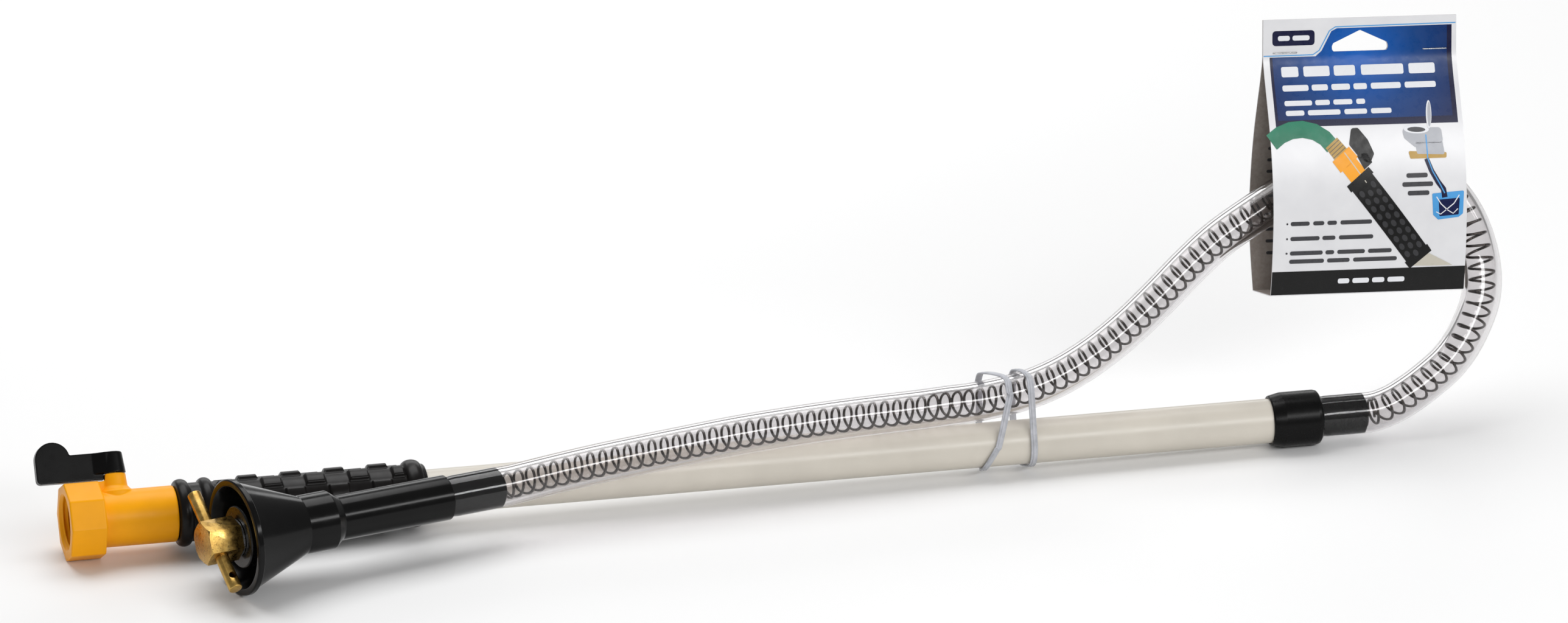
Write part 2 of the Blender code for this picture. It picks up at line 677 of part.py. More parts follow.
def nozzle_body(frame, plastic):
    """One shell: flared bell, neck, barrel and spigot, with a hub in the bell for the bushing."""
    cone_start_r = RIM_R - 1.4 * MM
    slope = (NECK_R - cone_start_r) / (CONE_LENGTH - RIM_LIP)
    floor_r = cone_start_r + slope * (BELL_FLOOR - RIM_LIP) - BELL_WALL
    outline = [
        (0, RIM_BORE_R), (0, RIM_R), (RIM_LIP, RIM_R), (RIM_LIP, cone_start_r),
        (CONE_LENGTH, NECK_R), (NECK_END, NECK_R), (BARREL_START, BARREL_R),
        (BARREL_END, BARREL_R), (BARREL_END, SPIGOT_R),
        (NOZZLE_END - 1 * MM, SPIGOT_R), (NOZZLE_END, SPIGOT_R - 0.6 * MM),
        (NOZZLE_END, NOZZLE_BORE_R), (CLIP_CHAMBER_END, NOZZLE_BORE_R),
        (CLIP_CHAMBER_END, CLIP_CHAMBER_R), (BUSHING_SOCKET_END, CLIP_CHAMBER_R),
        (BUSHING_SOCKET_END, BUSHING_SOCKET_R), (HUB_SEAT_FACE, BUSHING_SOCKET_R),
        (HUB_SEAT_FACE, HUB_SEAT_R), (BELL_FLOOR, HUB_SEAT_R), (BELL_FLOOR, floor_r),
    ]
    piece("nozzle_body", turned(outline, 36), frame, plastic)


def rotor_bearing(frame, plastic, steel):
    flange_back = HUB_SEAT_FACE - GAP
    sleeve_end = BUSHING_SOCKET_END - GAP
    outline = [
        (BUSHING_FACE, ROTOR_SHAFT_R + GAP), (BUSHING_FACE, HUB_SEAT_R),
        (flange_back, HUB_SEAT_R), (flange_back, BUSHING_SOCKET_R - GAP),
        (sleeve_end, BUSHING_SOCKET_R - GAP), (sleeve_end, ROTOR_SHAFT_R + GAP),
    ]
    piece("rotor_bushing", turned(outline), frame, plastic)
    low, high = HEX_END + GAP, BUSHING_FACE - GAP
    washer = [
        (low, ROTOR_SHAFT_R + GAP), (low, HEX_FLATS / 2 - GAP),
        (high, HEX_FLATS / 2 - GAP), (high, ROTOR_SHAFT_R + GAP),
    ]
    piece("thrust_washer", turned(washer, 24), frame, steel)


def rotor_hub(frame, brass):
    """A hexagon bar with a turned face, a hollow shaft behind it and a cross hole for the arm."""
    corner_r = HEX_FLATS / 2 / math.cos(math.pi / 6)
    hexagon = [
        (corner_r * math.cos(HEX_TURN + math.pi * i / 3), corner_r * math.sin(HEX_TURN + math.pi * i / 3))
        for i in range(6)
    ]
    depth = HEX_END - HEX_FACE
    solid = extruded(hexagon, depth, (HEX_FACE + depth / 2, 0, 0), (0, -1, 0), (0, 0, 1), (1, 0, 0))
    hub = piece("rotor_hub", solid, frame, brass)
    face_r = HEX_FLATS / 2 - 0.3 * MM
    rounding = turned(
        [
            (HEX_FACE - 1 * MM, 0), (HEX_FACE - 1 * MM, face_r - HEX_CHAMFER),
            (HEX_FACE, face_r), (HEX_FACE + HEX_CHAMFER, face_r + 1.8 * HEX_CHAMFER),
            (HEX_END + 1 * MM, face_r + 1.8 * HEX_CHAMFER), (HEX_END + 1 * MM, 0),
        ],
        36,
    )
    boolean(hub, piece("hex_rounding", rounding, frame), "INTERSECT")
    shaft = turned(
        [
            (HEX_END - 2 * MM, 0), (HEX_END - 2 * MM, ROTOR_SHAFT_R),
            (CLIP_STATION - CLIP_THICKNESS, ROTOR_SHAFT_R), (CLIP_STATION - CLIP_THICKNESS, CLIP_GROOVE_R),
            (CLIP_STATION + CLIP_THICKNESS, CLIP_GROOVE_R), (CLIP_STATION + CLIP_THICKNESS, ROTOR_SHAFT_R),
            (ROTOR_SHAFT_END, ROTOR_SHAFT_R), (ROTOR_SHAFT_END, 0),
        ],
        24,
    )
    boolean(hub, piece("shaft_solid", shaft, frame), "UNION")
    boolean(hub, piece("hub_bore_cutter", rod(ARM_STATION, ROTOR_SHAFT_END + 3 * MM, ROTOR_BORE_R, 16), frame))
    cross = arm_rod(-HEX_FLATS, HEX_FLATS, ARM_R + GAP)
    boolean(hub, piece("cross_hole_cutter", cross, frame, location=(ARM_STATION, 0, 0)))


def arm_rod(start, end, radius, sides=SMALL_SIDES):
    """A cylinder along the arm's direction, which is turned to the back from straight up."""
    direction = (0, math.sin(ARM_TURN), math.cos(ARM_TURN))
    return rod(start, end, radius, sides, None, direction, (1, 0, 0))


def spray_arm(frame, brass):
    """A cross tube with closed ends, an inlet in its middle and a jet near each end."""
    half = ARM_HALF_LENGTH
    place = (ARM_STATION, 0, 0)
    arm = piece("spray_arm", arm_rod(-half, half, ARM_R), frame, brass, location=place)
    inside = arm_rod(-half + ARM_END_WALL, half - ARM_END_WALL, ARM_BORE_R, 16)
    boolean(arm, piece("arm_bore_cutter", inside, frame, location=place))
    port = rod(0, ARM_R + 1 * MM, ROTOR_BORE_R * 0.7, 12)
    boolean(arm, piece("arm_port_cutter", port, frame, location=place))
    # The jets leave square to the arm and to the axis, on opposite sides, so they turn the rotor
    arm_up = Vector((0, math.sin(ARM_TURN), math.cos(ARM_TURN)))
    across = Vector((1, 0, 0)).cross(arm_up)
    for name, side in (("lower_jet_cutter", -1), ("upper_jet_cutter", 1)):
        jet = rod(0, ARM_R + 2 * MM, JET_R, 16, None, across * -side, (1, 0, 0))
        spot = Vector(place) + arm_up * side * (half - JET_FROM_END)
        boolean(arm, piece(name, jet, frame, location=spot))


def rotor_clip(frame, steel):
    """An open snap ring in the groove at the shaft's end."""
    inner_r = CLIP_GROOVE_R + GAP
    opening = math.radians(35)
    outline = arc((0, 0), CLIP_R, opening, 2 * math.pi - opening, 20)
    outline += arc((0, 0), inner_r, 2 * math.pi - opening, opening, 20)
    shape = extruded(outline, CLIP_THICKNESS, (CLIP_STATION, 0, 0), (0, 1, 0), (0, 0, 1), (1, 0, 0))
    piece("rotor_clip", shape, frame, steel)


# ---------------------------------------------------------------- tie, card and staples


def tie_turn(name, station, wand, route, vinyl):
    """One turn of the strap, pulled round the pipe and the hose at a station."""
    after = next(i for i, p in enumerate(route) if p.x < INLET_X + station)
    a, b = route[after - 1], route[after]
    share = (a.x - INLET_X - station) / (a.x - b.x)
    hose = wand.matrix_world.inverted() @ a.lerp(b, share)
    angle = math.atan2(hose.z, hose.y)
    distance = math.hypot(hose.y, hose.z)

    def loop(extra):
        pipe_r, hose_r = PIPE_R + TIE_CLEARANCE + extra, HOSE_R + TIE_CLEARANCE + extra
        lean = math.acos((pipe_r - hose_r) / distance)
        return arc((hose.y, hose.z), hose_r, angle - lean, angle + lean, 12) + arc(
            (0, 0), pipe_r, angle + lean, angle + 2 * math.pi - lean, 14
        )

    outer, inner = loop(TIE_THICKNESS), loop(0.0)
    shape = bmesh.new()
    rings = []
    for x, outline in (
        (-TIE_WIDTH / 2, outer), (TIE_WIDTH / 2, outer), (TIE_WIDTH / 2, inner), (-TIE_WIDTH / 2, inner),
    ):
        rings.append([shape.verts.new((station + x, y, z)) for y, z in outline])
    count = len(outer)
    for ring, following in zip(rings, rings[1:] + rings[:1]):
        for i in range(count):
            j = (i + 1) % count
            shape.faces.new((ring[i], ring[j], following[j], following[i]))
    piece(name, shape, wand, vinyl)


def card_point(share, side, frame_z):
    """A point (towards the back, up) on the card's middle line; side is -1 in front, 1 behind."""
    for (s0, f0, b0), (s1, f1, b1) in zip(CARD_SHAPE, CARD_SHAPE[1:]):
        if s0 <= share <= s1:
            t = (share - s0) / (s1 - s0)
            reach = (b0 + (b1 - b0) * t) if side > 0 else (f0 + (f1 - f0) * t)
            reach = side * (reach + CARD_SPREAD * min(1.0, reach / (6 * MM)))
            return (reach - CARD_AHEAD, frame_z + share * CARD_HEIGHT)
    raise ValueError("share is from 0 to 1")


def header_card(frame, board):
    """Front panel, floor and back panel folded from one card, with a hang hole near the top."""
    bottom = -CARD_BELOW_HOSE
    half = CARD_THICKNESS / 2
    shares = [row[0] for row in CARD_SHAPE]
    front = [card_point(s, -1, bottom) for s in shares]
    back = [card_point(s, 1, bottom) for s in shares]
    outer = [(y - half, z) for y, z in reversed(front)] + [(y + half, z) for y, z in back]
    inner = [(y - half, z) for y, z in reversed(back)] + [(y + half, z) for y, z in front]
    lift = CARD_THICKNESS
    inner = [(y, z + lift if z < bottom + half else z) for y, z in inner]
    card = piece(
        "header_card",
        extruded(outer + inner, CARD_WIDTH, (-CARD_LEFT, 0, 0), (0, 1, 0), (0, 0, 1), (1, 0, 0)),
        frame, board,
    )
    top = bottom + CARD_HEIGHT
    hole = [
        (-HANG_HOLE_WIDTH / 2, top - HANG_HOLE_BELOW_TOP),
        (HANG_HOLE_WIDTH / 2, top - HANG_HOLE_BELOW_TOP),
        (HANG_HOLE_WIDTH * 0.3, top - HANG_HOLE_BELOW_TOP + HANG_HOLE_HEIGHT * 0.65),
        (0, top - HANG_HOLE_BELOW_TOP + HANG_HOLE_HEIGHT),
        (-HANG_HOLE_WIDTH * 0.3, top - HANG_HOLE_BELOW_TOP + HANG_HOLE_HEIGHT * 0.65),
    ]
    boolean(card, piece("hang_hole_cutter", extruded(hole, 20 * MM, (-CARD_LEFT, 0, 0)), frame))
    return card


def staple(name, frame, card, middle_x, steel):
    """A bent wire through both panels: crown in front, legs clinched behind, and its holes."""
    panel = CARD_SHAPE[-1][1] + CARD_THICKNESS / 2 + GAP
    z = CARD_HEIGHT - CARD_BELOW_HOSE - STAPLE_BELOW_TOP
    half, wire = STAPLE_LENGTH / 2, STAPLE_WIRE
    middle_x -= CARD_LEFT
    front, back = -panel, panel
    outline = [
        (-half, front - wire), (half, front - wire), (half, back + wire), (1 * MM, back + wire),
        (1 * MM, back), (half - wire, back), (half - wire, front), (wire - half, front),
        (wire - half, back), (-1 * MM, back), (-1 * MM, back + wire), (-half, back + wire),
    ]
    shape = extruded(outline, wire, (middle_x, -CARD_AHEAD, z), (1, 0, 0), (0, 1, 0), (0, 0, 1))
    piece(name, shape, frame, steel)
    for side in (-1, 1):
        leg_x = middle_x + side * (half - wire / 2)
        reach = wire / 2 + GAP
        hole = block((leg_x - reach, -10 * MM, z - reach), (leg_x + reach, 10 * MM, z + reach))
        boolean(card, piece(f"{name}_hole_cutter_{side + 1}", hole, frame))


# ---------------------------------------------------------------- the whole wand


def build():
    clear_scene()
    yellow = finish("yellow_plastic", (0.90, 0.42, 0.01), 0.42)
    black = finish("black_plastic", (0.012, 0.012, 0.013), 0.30)
    nozzle_black = finish("nozzle_plastic", (0.010, 0.010, 0.011), 0.22)
    rubber = finish("black_rubber", (0.020, 0.019, 0.019), 0.55)
    cream = finish("pipe_plastic", (0.66, 0.61, 0.52), 0.38)
    white = finish("seat_plastic", (0.82, 0.82, 0.80), 0.45)
    vinyl = finish("clear_vinyl", (0.80, 0.80, 0.80), 0.15, 0.0, 0.35)
    steel = finish("spring_steel", (0.45, 0.44, 0.43), 0.35, 1.0)
    brass = finish("brass", (0.72, 0.50, 0.20), 0.32, 1.0)
    board = finish("printed_card", (0.80, 0.80, 0.80), 0.50)

    wand = wand_frame()
    valve = empty("valve_frame", wand, rotation=(-VALVE_ROLL, 0, 0))
    stem = empty("stem_axis", valve, (STEM_X, 0, 0))
    nozzle = nozzle_frame()
    rotor = empty("rotor_axis", nozzle)
    card_hang = card_frame()

    valve_body(valve, yellow)
    valve_inside(valve, rubber, white, white)
    valve_ball(stem, white)
    valve_stem(stem, brass, rubber)
    valve_lever(stem, black)
    rigid_pipe(wand, cream)
    handle_grip(wand, rubber)
    hose_coupling(wand, black)
    hose_and_spring(hose_line(wand, nozzle, HOSE_STEP), vinyl, steel)
    nozzle_body(nozzle, nozzle_black)
    rotor_bearing(nozzle, black, steel)
    rotor_hub(rotor, brass)
    spray_arm(rotor, brass)
    rotor_clip(rotor, steel)
    route = hose_line(wand, nozzle, 2 * MM)
    for name, station in zip(("tie_turn_left", "tie_turn_right"), TIE_STATIONS):
        tie_turn(name, station, wand, route, vinyl)
    card = header_card(card_hang, board)
    staple("staple_left", card_hang, card, -STAPLE_FROM_MIDDLE, steel)
    staple("staple_right", card_hang, card, STAPLE_FROM_MIDDLE, steel)


build()
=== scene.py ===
"""How the tank-rinsing wand looks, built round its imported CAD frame.

Metres, +Z up, the same frame as the CAD: +X along the rigid pipe from the inlet. The sizes and the
hose's route repeat part.py's values. Stations are measured along a piece's own axis: from the
inlet face for the pipe and the valve, and from the flared rim for the nozzle.
"""

import json
import math

import bmesh
import bpy
from mathutils import Euler, Matrix, Vector

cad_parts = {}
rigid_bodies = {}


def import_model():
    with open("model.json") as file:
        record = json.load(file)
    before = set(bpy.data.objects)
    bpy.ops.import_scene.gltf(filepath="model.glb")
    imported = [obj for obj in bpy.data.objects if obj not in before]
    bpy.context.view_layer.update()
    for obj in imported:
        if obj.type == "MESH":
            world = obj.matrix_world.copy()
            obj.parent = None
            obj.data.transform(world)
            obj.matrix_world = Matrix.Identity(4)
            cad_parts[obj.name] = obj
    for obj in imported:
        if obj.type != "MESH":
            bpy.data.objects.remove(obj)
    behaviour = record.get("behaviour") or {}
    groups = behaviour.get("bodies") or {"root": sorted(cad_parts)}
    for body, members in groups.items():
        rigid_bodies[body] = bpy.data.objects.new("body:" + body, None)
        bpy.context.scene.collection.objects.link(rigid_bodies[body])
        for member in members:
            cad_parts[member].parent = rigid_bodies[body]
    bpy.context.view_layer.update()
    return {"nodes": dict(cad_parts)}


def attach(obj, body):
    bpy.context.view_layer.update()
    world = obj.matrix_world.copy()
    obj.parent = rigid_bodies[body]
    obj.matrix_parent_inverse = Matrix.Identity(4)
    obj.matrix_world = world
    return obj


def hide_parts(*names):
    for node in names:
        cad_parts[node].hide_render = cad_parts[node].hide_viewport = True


MM = 0.001

for stale in list(bpy.data.objects):
    bpy.data.objects.remove(stale, do_unlink=True)
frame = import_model()
NODES = frame["nodes"]

# ---------------------------------------------------------------- reference frames

INLET = Vector((-341.4 * MM, 10.6 * MM, 0))
OCTAGON_FLATS, OCTAGON_LENGTH = 35.0 * MM, 17.0 * MM
COLLAR_R, COLLAR_SHOULDER = 13.2 * MM, 609.0 * MM
VALVE_ROLL = math.radians(31.0)
STEM_X = 25.4 * MM
RIM_R, RIM_LIP = 27.75 * MM, 3.0 * MM
NOZZLE_YAW, NOZZLE_PITCH = math.radians(13.8), math.radians(0.47)
ARM_TURN = math.radians(55.0)
HOSE_PEAK = Vector((0.6425, 0.0408, 0.1250)) + INLET


def placed(location, euler=(0, 0, 0), order="XYZ"):
    return Matrix.Translation(location) @ Euler(euler, order).to_matrix().to_4x4()


REACH = OCTAGON_FLATS / 2 / math.cos(math.pi / 8) * math.cos(VALVE_ROLL - math.pi / 8)
TILT = math.atan2(REACH - COLLAR_R, COLLAR_SHOULDER - OCTAGON_LENGTH)
WAND = placed(
    INLET + Vector((0, 0, OCTAGON_LENGTH * math.sin(TILT) + REACH * math.cos(TILT))), (0, TILT, 0)
)
VALVE = WAND @ placed((0, 0, 0), (-VALVE_ROLL, 0, 0))
STEM = VALVE @ placed((STEM_X, 0, 0))
RIM_Z = RIM_R * math.cos(NOZZLE_PITCH) + RIM_LIP * math.sin(NOZZLE_PITCH)
NOZZLE = placed(INLET + Vector((69.4 * MM, -57.2 * MM, RIM_Z)), (0, NOZZLE_PITCH, NOZZLE_YAW))
CARD = placed(HOSE_PEAK, (math.radians(-15), math.radians(5.2), math.radians(5.4)), "YXZ")

def linked(name, data):
    """A new object of this data, in the scene."""
    obj = bpy.data.objects.new(name, data)
    bpy.context.scene.collection.objects.link(obj)
    return obj


def mesh_of(name, shape):
    """This bmesh as a mesh. The bmesh is freed."""
    mesh = bpy.data.meshes.new(name)
    shape.to_mesh(mesh)
    shape.free()
    return mesh


def mm(points):
    """Points given in millimetres, in metres."""
    return [tuple(value * MM for value in point) for point in points]


# ---------------------------------------------------------------- camera

CAMERA_AZIMUTH, CAMERA_ELEVATION = math.radians(-13.6), math.radians(22.3)
CAMERA_DISTANCE = 9.0
FRAME_WIDTH = 0.7385
LOOK_AT = INLET + Vector((0.3394, -0.037, 0.1084))

toward = Vector(
    (
        math.sin(CAMERA_AZIMUTH) * math.cos(CAMERA_ELEVATION),
        -math.cos(CAMERA_AZIMUTH) * math.cos(CAMERA_ELEVATION),
        math.sin(CAMERA_ELEVATION),
    )
)
camera_data = bpy.data.cameras.new("camera")
camera_data.sensor_width = 36.0
camera_data.lens = 36.0 * CAMERA_DISTANCE / FRAME_WIDTH
camera_data.clip_start = 0.1
camera_data.clip_end = 100.0
camera = linked("camera", camera_data)
camera.location = LOOK_AT + toward * CAMERA_DISTANCE
camera.rotation_euler = toward.to_track_quat("Z", "Y").to_euler()
bpy.context.scene.camera = camera


# ---------------------------------------------------------------- mesh helpers


def piece(name, shape, materials, body, place=None, replaces=(), sharp=35.0):
    """An object of this bmesh or mesh in its frame, riding on a body."""
    if isinstance(shape, bmesh.types.BMesh):
        bmesh.ops.recalc_face_normals(shape, faces=shape.faces)
        mesh = mesh_of(name, shape)
    else:
        mesh = shape
        mesh.name = name
    mesh.shade_smooth()
    mesh.set_sharp_from_angle(angle=math.radians(sharp))
    obj = linked(name, mesh)
    if not isinstance(materials, (list, tuple)):
        materials = [materials]
    inks = [polygon.material_index for polygon in mesh.polygons]
    mesh.materials.clear()
    for one in materials:
        mesh.materials.append(one)
    mesh.polygons.foreach_set("material_index", inks)
    if place is not None:
        obj.matrix_world = place
    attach(obj, body)
    if replaces:
        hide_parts(*replaces)
    return obj


NEARLY_STRAIGHT, NEARLY_FOLDED = math.radians(172), math.radians(4)
SHARE_OF_SIDE = 0.48  # of each side, so that two corners' arcs never meet


def rounded(points, radii, steps=4):
    """A closed outline with each corner turned into an arc; radii is one value or one per corner."""
    count = len(points)
    if not isinstance(radii, (list, tuple)):
        radii = [radii] * count
    out = []
    for i in range(count):
        before, here, after = Vector(points[i - 1]), Vector(points[i]), Vector(points[(i + 1) % count])
        a, b = (before - here), (after - here)
        if radii[i] <= 0 or a.length < 1e-9 or b.length < 1e-9:
            out.append(tuple(here))
            continue
        angle = a.angle(b)
        if angle > NEARLY_STRAIGHT or angle < NEARLY_FOLDED:
            out.append(tuple(here))
            continue
        reach = radii[i] / math.tan(angle / 2)
        limit = SHARE_OF_SIDE * min(a.length, b.length)
        radius = radii[i] * min(1.0, limit / reach)
        reach = min(reach, limit)
        center = here + (a.normalized() + b.normalized()).normalized() * (radius / math.sin(angle / 2))
        start, end = here + a.normalized() * reach - center, here + b.normalized() * reach - center
        for k in range(steps + 1):
            t = k / steps
            turn = start.angle(end)
            if turn < 1e-6:
                out.append(tuple(center + start))
                break
            spot = (start * math.sin((1 - t) * turn) + end * math.sin(t * turn)) / math.sin(turn)
            out.append(tuple(center + spot))
    return out


def rounded_mm(points, radii, steps=4):
    """A rounded outline whose points and radii are given in millimetres."""
    return rounded(mm(points), [radius * MM for radius in radii], steps)


def skin(shape, rings, flip=False):
    """Four-sided faces between each closed ring of vertices and the next."""
    count = len(rings[0])
    for a, b in zip(rings, rings[1:]):
        for k in range(count):
            n = (k + 1) % count
            quad = (a[k], a[n], b[n], b[k])
            shape.faces.new(tuple(reversed(quad)) if flip else quad)


def cap_ends(shape, rings):
    shape.faces.new(list(reversed(rings[0])))
    shape.faces.new(rings[-1])


def lathe(outline, sides=96):
    """A closed outline of (station, radius) points turned about X."""
    shape = bmesh.new()
    turns = [2 * math.pi * k / sides for k in range(sides)]
    rings = []
    for station, radius in outline:
        spots = [(radius * math.sin(t), radius * math.cos(t)) for t in turns]
        if radius <= 1e-9:
            spots = [(0, 0)]
        rings.append([shape.verts.new((station, *spot)) for spot in spots])
    for a, b in zip(rings, rings[1:] + rings[:1]):
        if len(a) == 1 and len(b) == 1:
            continue
        for k in range(sides):
            n = (k + 1) % sides
            if len(a) == 1:
                shape.faces.new((a[0], b[n], b[k]))
            elif len(b) == 1:
                shape.faces.new((a[k], a[n], b[0]))
            else:
                shape.faces.new((a[k], a[n], b[n], b[k]))
    return shape


def extruded(outline, depth, origin=(0, 0, 0), u=(1, 0, 0), v=(0, 0, 1), along=(0, 1, 0)):
    shape = bmesh.new()
    origin, u, v, along = Vector(origin), Vector(u), Vector(v), Vector(along)
    low = [shape.verts.new(origin + u * a + v * b - along * (depth / 2)) for a, b in outline]
    high = [shape.verts.new(vert.co + along * depth) for vert in low]
    shape.faces.new(low)
    shape.faces.new(list(reversed(high)))
    for i in range(len(low)):
        j = (i + 1) % len(low)
        shape.faces.new((low[j], low[i], high[i], high[j]))
    bmesh.ops.recalc_face_normals(shape, faces=shape.faces)
    return shape


def box(low, high):
    """A box between two corners."""
    shape = bmesh.new()
    bmesh.ops.create_cube(shape, size=1.0)
    low, high = Vector(low), Vector(high)
    for vert in shape.verts:
        share = vert.co + Vector((0.5, 0.5, 0.5))
        vert.co = low + Vector(share[i] * (high[i] - low[i]) for i in range(3))
    return shape


def moved(shape, matrix):
    bmesh.ops.transform(shape, matrix=matrix, verts=shape.verts)
    return shape


TURN_UP = Matrix.Rotation(-math.pi / 2, 4, "Y")  # takes a lathed piece's X to Z


def fused(base, unions=(), cuts=(), extras=(), voxel=None, smooth=0, bevel=0.0):
    """One mesh from solids and cutters, with its edges softened by a remesh or a bevel."""
    made = []

    def temp(shape):
        bmesh.ops.recalc_face_normals(shape, faces=shape.faces)
        obj = linked("temp", mesh_of("temp", shape))
        made.append(obj)
        return obj

    def cut(obj, shapes, operation):
        for shape in shapes:
            modifier = obj.modifiers.new("cut", "BOOLEAN")
            modifier.operation = operation
            modifier.solver = "EXACT"
            modifier.object = shape

    root = temp(base)
    unions, cuts = [temp(one) for one in unions], [temp(one) for one in cuts]
    if voxel:
        # Each solid is cut by itself, and the remesh joins them
        joined = bmesh.new()
        for solid in [root] + unions:
            cut(solid, cuts, "DIFFERENCE")
            joined.from_mesh(evaluated_mesh(solid))
        for shape in extras:
            joined.from_mesh(temp(shape).data)
        whole = temp(joined)
        modifier = whole.modifiers.new("remesh", "REMESH")
        modifier.mode = "VOXEL"
        modifier.voxel_size = voxel
        if smooth:
            modifier = whole.modifiers.new("smooth", "SMOOTH")
            modifier.factor = 0.5
            modifier.iterations = smooth
        mesh = evaluated_mesh(whole)
    else:
        cut(root, unions, "UNION")
        cut(root, cuts, "DIFFERENCE")
        if bevel:
            modifier = root.modifiers.new("bevel", "BEVEL")
            modifier.width = bevel
            modifier.segments = 2
            modifier.limit_method = "ANGLE"
            modifier.angle_limit = math.radians(32)
        mesh = evaluated_mesh(root)
    for obj in made:
        bpy.data.objects.remove(obj, do_unlink=True)
    return mesh


def evaluated_mesh(obj):
    bpy.context.view_layer.update()
    graph = bpy.context.evaluated_depsgraph_get()
    return bpy.data.meshes.new_from_object(obj.evaluated_get(graph))


def frames_along(points, start_up=Vector((0, 0, 1))):
    """A (point, side, up, ahead) for each point, turned as little as can be from one to the next."""
    found, up = [], start_up
    for i, point in enumerate(points):
        ahead = (points[min(i + 1, len(points) - 1)] - points[max(i - 1, 0)]).normalized()
        up = (up - ahead * up.dot(ahead)).normalized()
        found.append((point, ahead.cross(up).normalized(), up, ahead))
    return found


def swept(frames, section, loop=False):
    """A tube along frames with this (side, up) outline. It has caps, unless it is a loop."""
    shape = bmesh.new()
    rings = [
        [shape.verts.new(point + side * a + up * b) for a, b in section]
        for point, side, up, _ in frames
    ]
    skin(shape, rings + rings[:1] if loop else rings)
    if not loop:
        cap_ends(shape, rings)
    return shape


def arc(radius, start, sweep, count):
    """Points on an arc about the origin, with both of its ends."""
    turns = [start + sweep * i / count for i in range(count + 1)]
    return [(radius * math.cos(a), radius * math.sin(a)) for a in turns]


def circle(radius, sides):
    return arc(radius, 0.0, 2 * math.pi, sides)[:-1]


def distances(line):
    """How far along a line each of its points lies."""
    along = [0.0]
    for a, b in zip(line, line[1:]):
        along.append(along[-1] + (b - a).length)
    return along


def smooth_line(points, step):
    """Points about a step apart on a Catmull-Rom curve, from the second point to the last but one."""
    fine = []
    for a, b, c, d in zip(points, points[1:], points[2:], points[3:]):
        for i in range(24):
            t = i / 24
            fine.append(
                0.5 * (2 * b + (c - a) * t + (2 * a - 5 * b + 4 * c - d) * t**2
                       + (3 * b - a - 3 * c + d) * t**3)
            )
    fine.append(points[-2])
    along = distances(fine)
    count = max(2, round(along[-1] / step))
    even, at = [], 0
    for i in range(count + 1):
        target = along[-1] * i / count
        while at < len(along) - 2 and along[at + 1] < target:
            at += 1
        share = (target - along[at]) / (along[at + 1] - along[at])
        even.append(fine[at].lerp(fine[at + 1], min(1.0, share)))
    return even


# ---------------------------------------------------------------- material helpers


class Nodes:
    """A short way to write a material's node tree."""

    def __init__(self, name, color=(0.8, 0.8, 0.8), roughness=0.5, metallic=0.0, **sockets):
        self.material = bpy.data.materials.new(name)
        self.material.use_nodes = True
        self.tree = self.material.node_tree
        self.shader = self.tree.nodes["Principled BSDF"]
        self.shader.inputs["Base Color"].default_value = (*color, 1)
        self.shader.inputs["Roughness"].default_value = roughness
        self.shader.inputs["Metallic"].default_value = metallic
        for key, value in sockets.items():
            self.shader.inputs[key.replace("_", " ")].default_value = value
        self.place = self.add("ShaderNodeTexCoord").outputs["Object"]

    def add(self, kind, **settings):
        node = self.tree.nodes.new(kind)
        for key, value in settings.items():
            setattr(node, key, value)
        return node

    def link(self, out, into):
        self.tree.links.new(out, into)

    def stretched(self, scale):
        mapping = self.add("ShaderNodeMapping")
        mapping.inputs["Scale"].default_value = scale
        self.link(self.place, mapping.inputs["Vector"])
        return mapping.outputs["Vector"]

    def noise(self, scale, detail=3.0, rough=0.5, where=None):
        node = self.add("ShaderNodeTexNoise")
        node.inputs["Scale"].default_value = scale
        node.inputs["Detail"].default_value = detail
        node.inputs["Roughness"].default_value = rough
        self.link(where or self.place, node.inputs["Vector"])
        return node.outputs["Fac"]

    def spread(self, value, low, high, first=0.3, last=0.7):
        node = self.add("ShaderNodeMapRange")
        node.inputs["From Min"].default_value = first
        node.inputs["From Max"].default_value = last
        node.inputs["To Min"].default_value = low
        node.inputs["To Max"].default_value = high
        self.link(value, node.inputs["Value"])
        return node.outputs["Result"]

    def colours(self, value, stops):
        node = self.add("ShaderNodeValToRGB")
        ramp = node.color_ramp
        while len(ramp.elements) < len(stops):
            ramp.elements.new(0.5)
        for element, (at, color) in zip(ramp.elements, stops):
            element.position = at
            element.color = (*color, 1)
        self.link(value, node.inputs["Fac"])
        return node.outputs["Color"]

    def blend(self, factor, a, b):
        node = self.add("ShaderNodeMix", data_type="RGBA")
        for value, index in ((factor, 0), (a, 6), (b, 7)):
            if isinstance(value, (tuple, list)):
                node.inputs[index].default_value = (*value, 1)
            elif isinstance(value, float):
                node.inputs[index].default_value = value
            else:
                self.link(value, node.inputs[index])
        return node.outputs[2]

    def color(self, out):
        self.link(out, self.shader.inputs["Base Color"])
        return self

    def rough(self, out):
        self.link(out, self.shader.inputs["Roughness"])
        return self

    def bump(self, height, strength, distance):
        node = self.add("ShaderNodeBump")
        node.inputs["Strength"].default_value = strength
        node.inputs["Distance"].default_value = distance
        previous = self.shader.inputs["Normal"].links
        if previous:
            self.link(previous[0].from_socket, node.inputs["Normal"])
        self.link(height, node.inputs["Height"])
        self.link(node.outputs["Normal"], self.shader.inputs["Normal"])
        return self


def dim(color, share):
    return tuple(c * share for c in color)


def moulded(name, color, roughness, spread, shade, grain, specular=0.5):
    """Moulded plastic: slightly uneven colour and gloss, and a fine skin."""
    m = Nodes(name, color, roughness, Specular_IOR_Level=specular)
    dark, light = dim(color, 1 - shade), dim(color, 1 + shade * 0.4)
    m.color(m.colours(m.noise(90, 4), [(0.3, dark), (0.7, light)]))
    m.rough(m.spread(m.noise(260, 5), roughness - spread, roughness + spread))
    m.bump(m.noise(2600, 2), grain, 0.0001)
    m.bump(m.noise(70, 2), grain * 0.7, 0.0006)
    return m.material


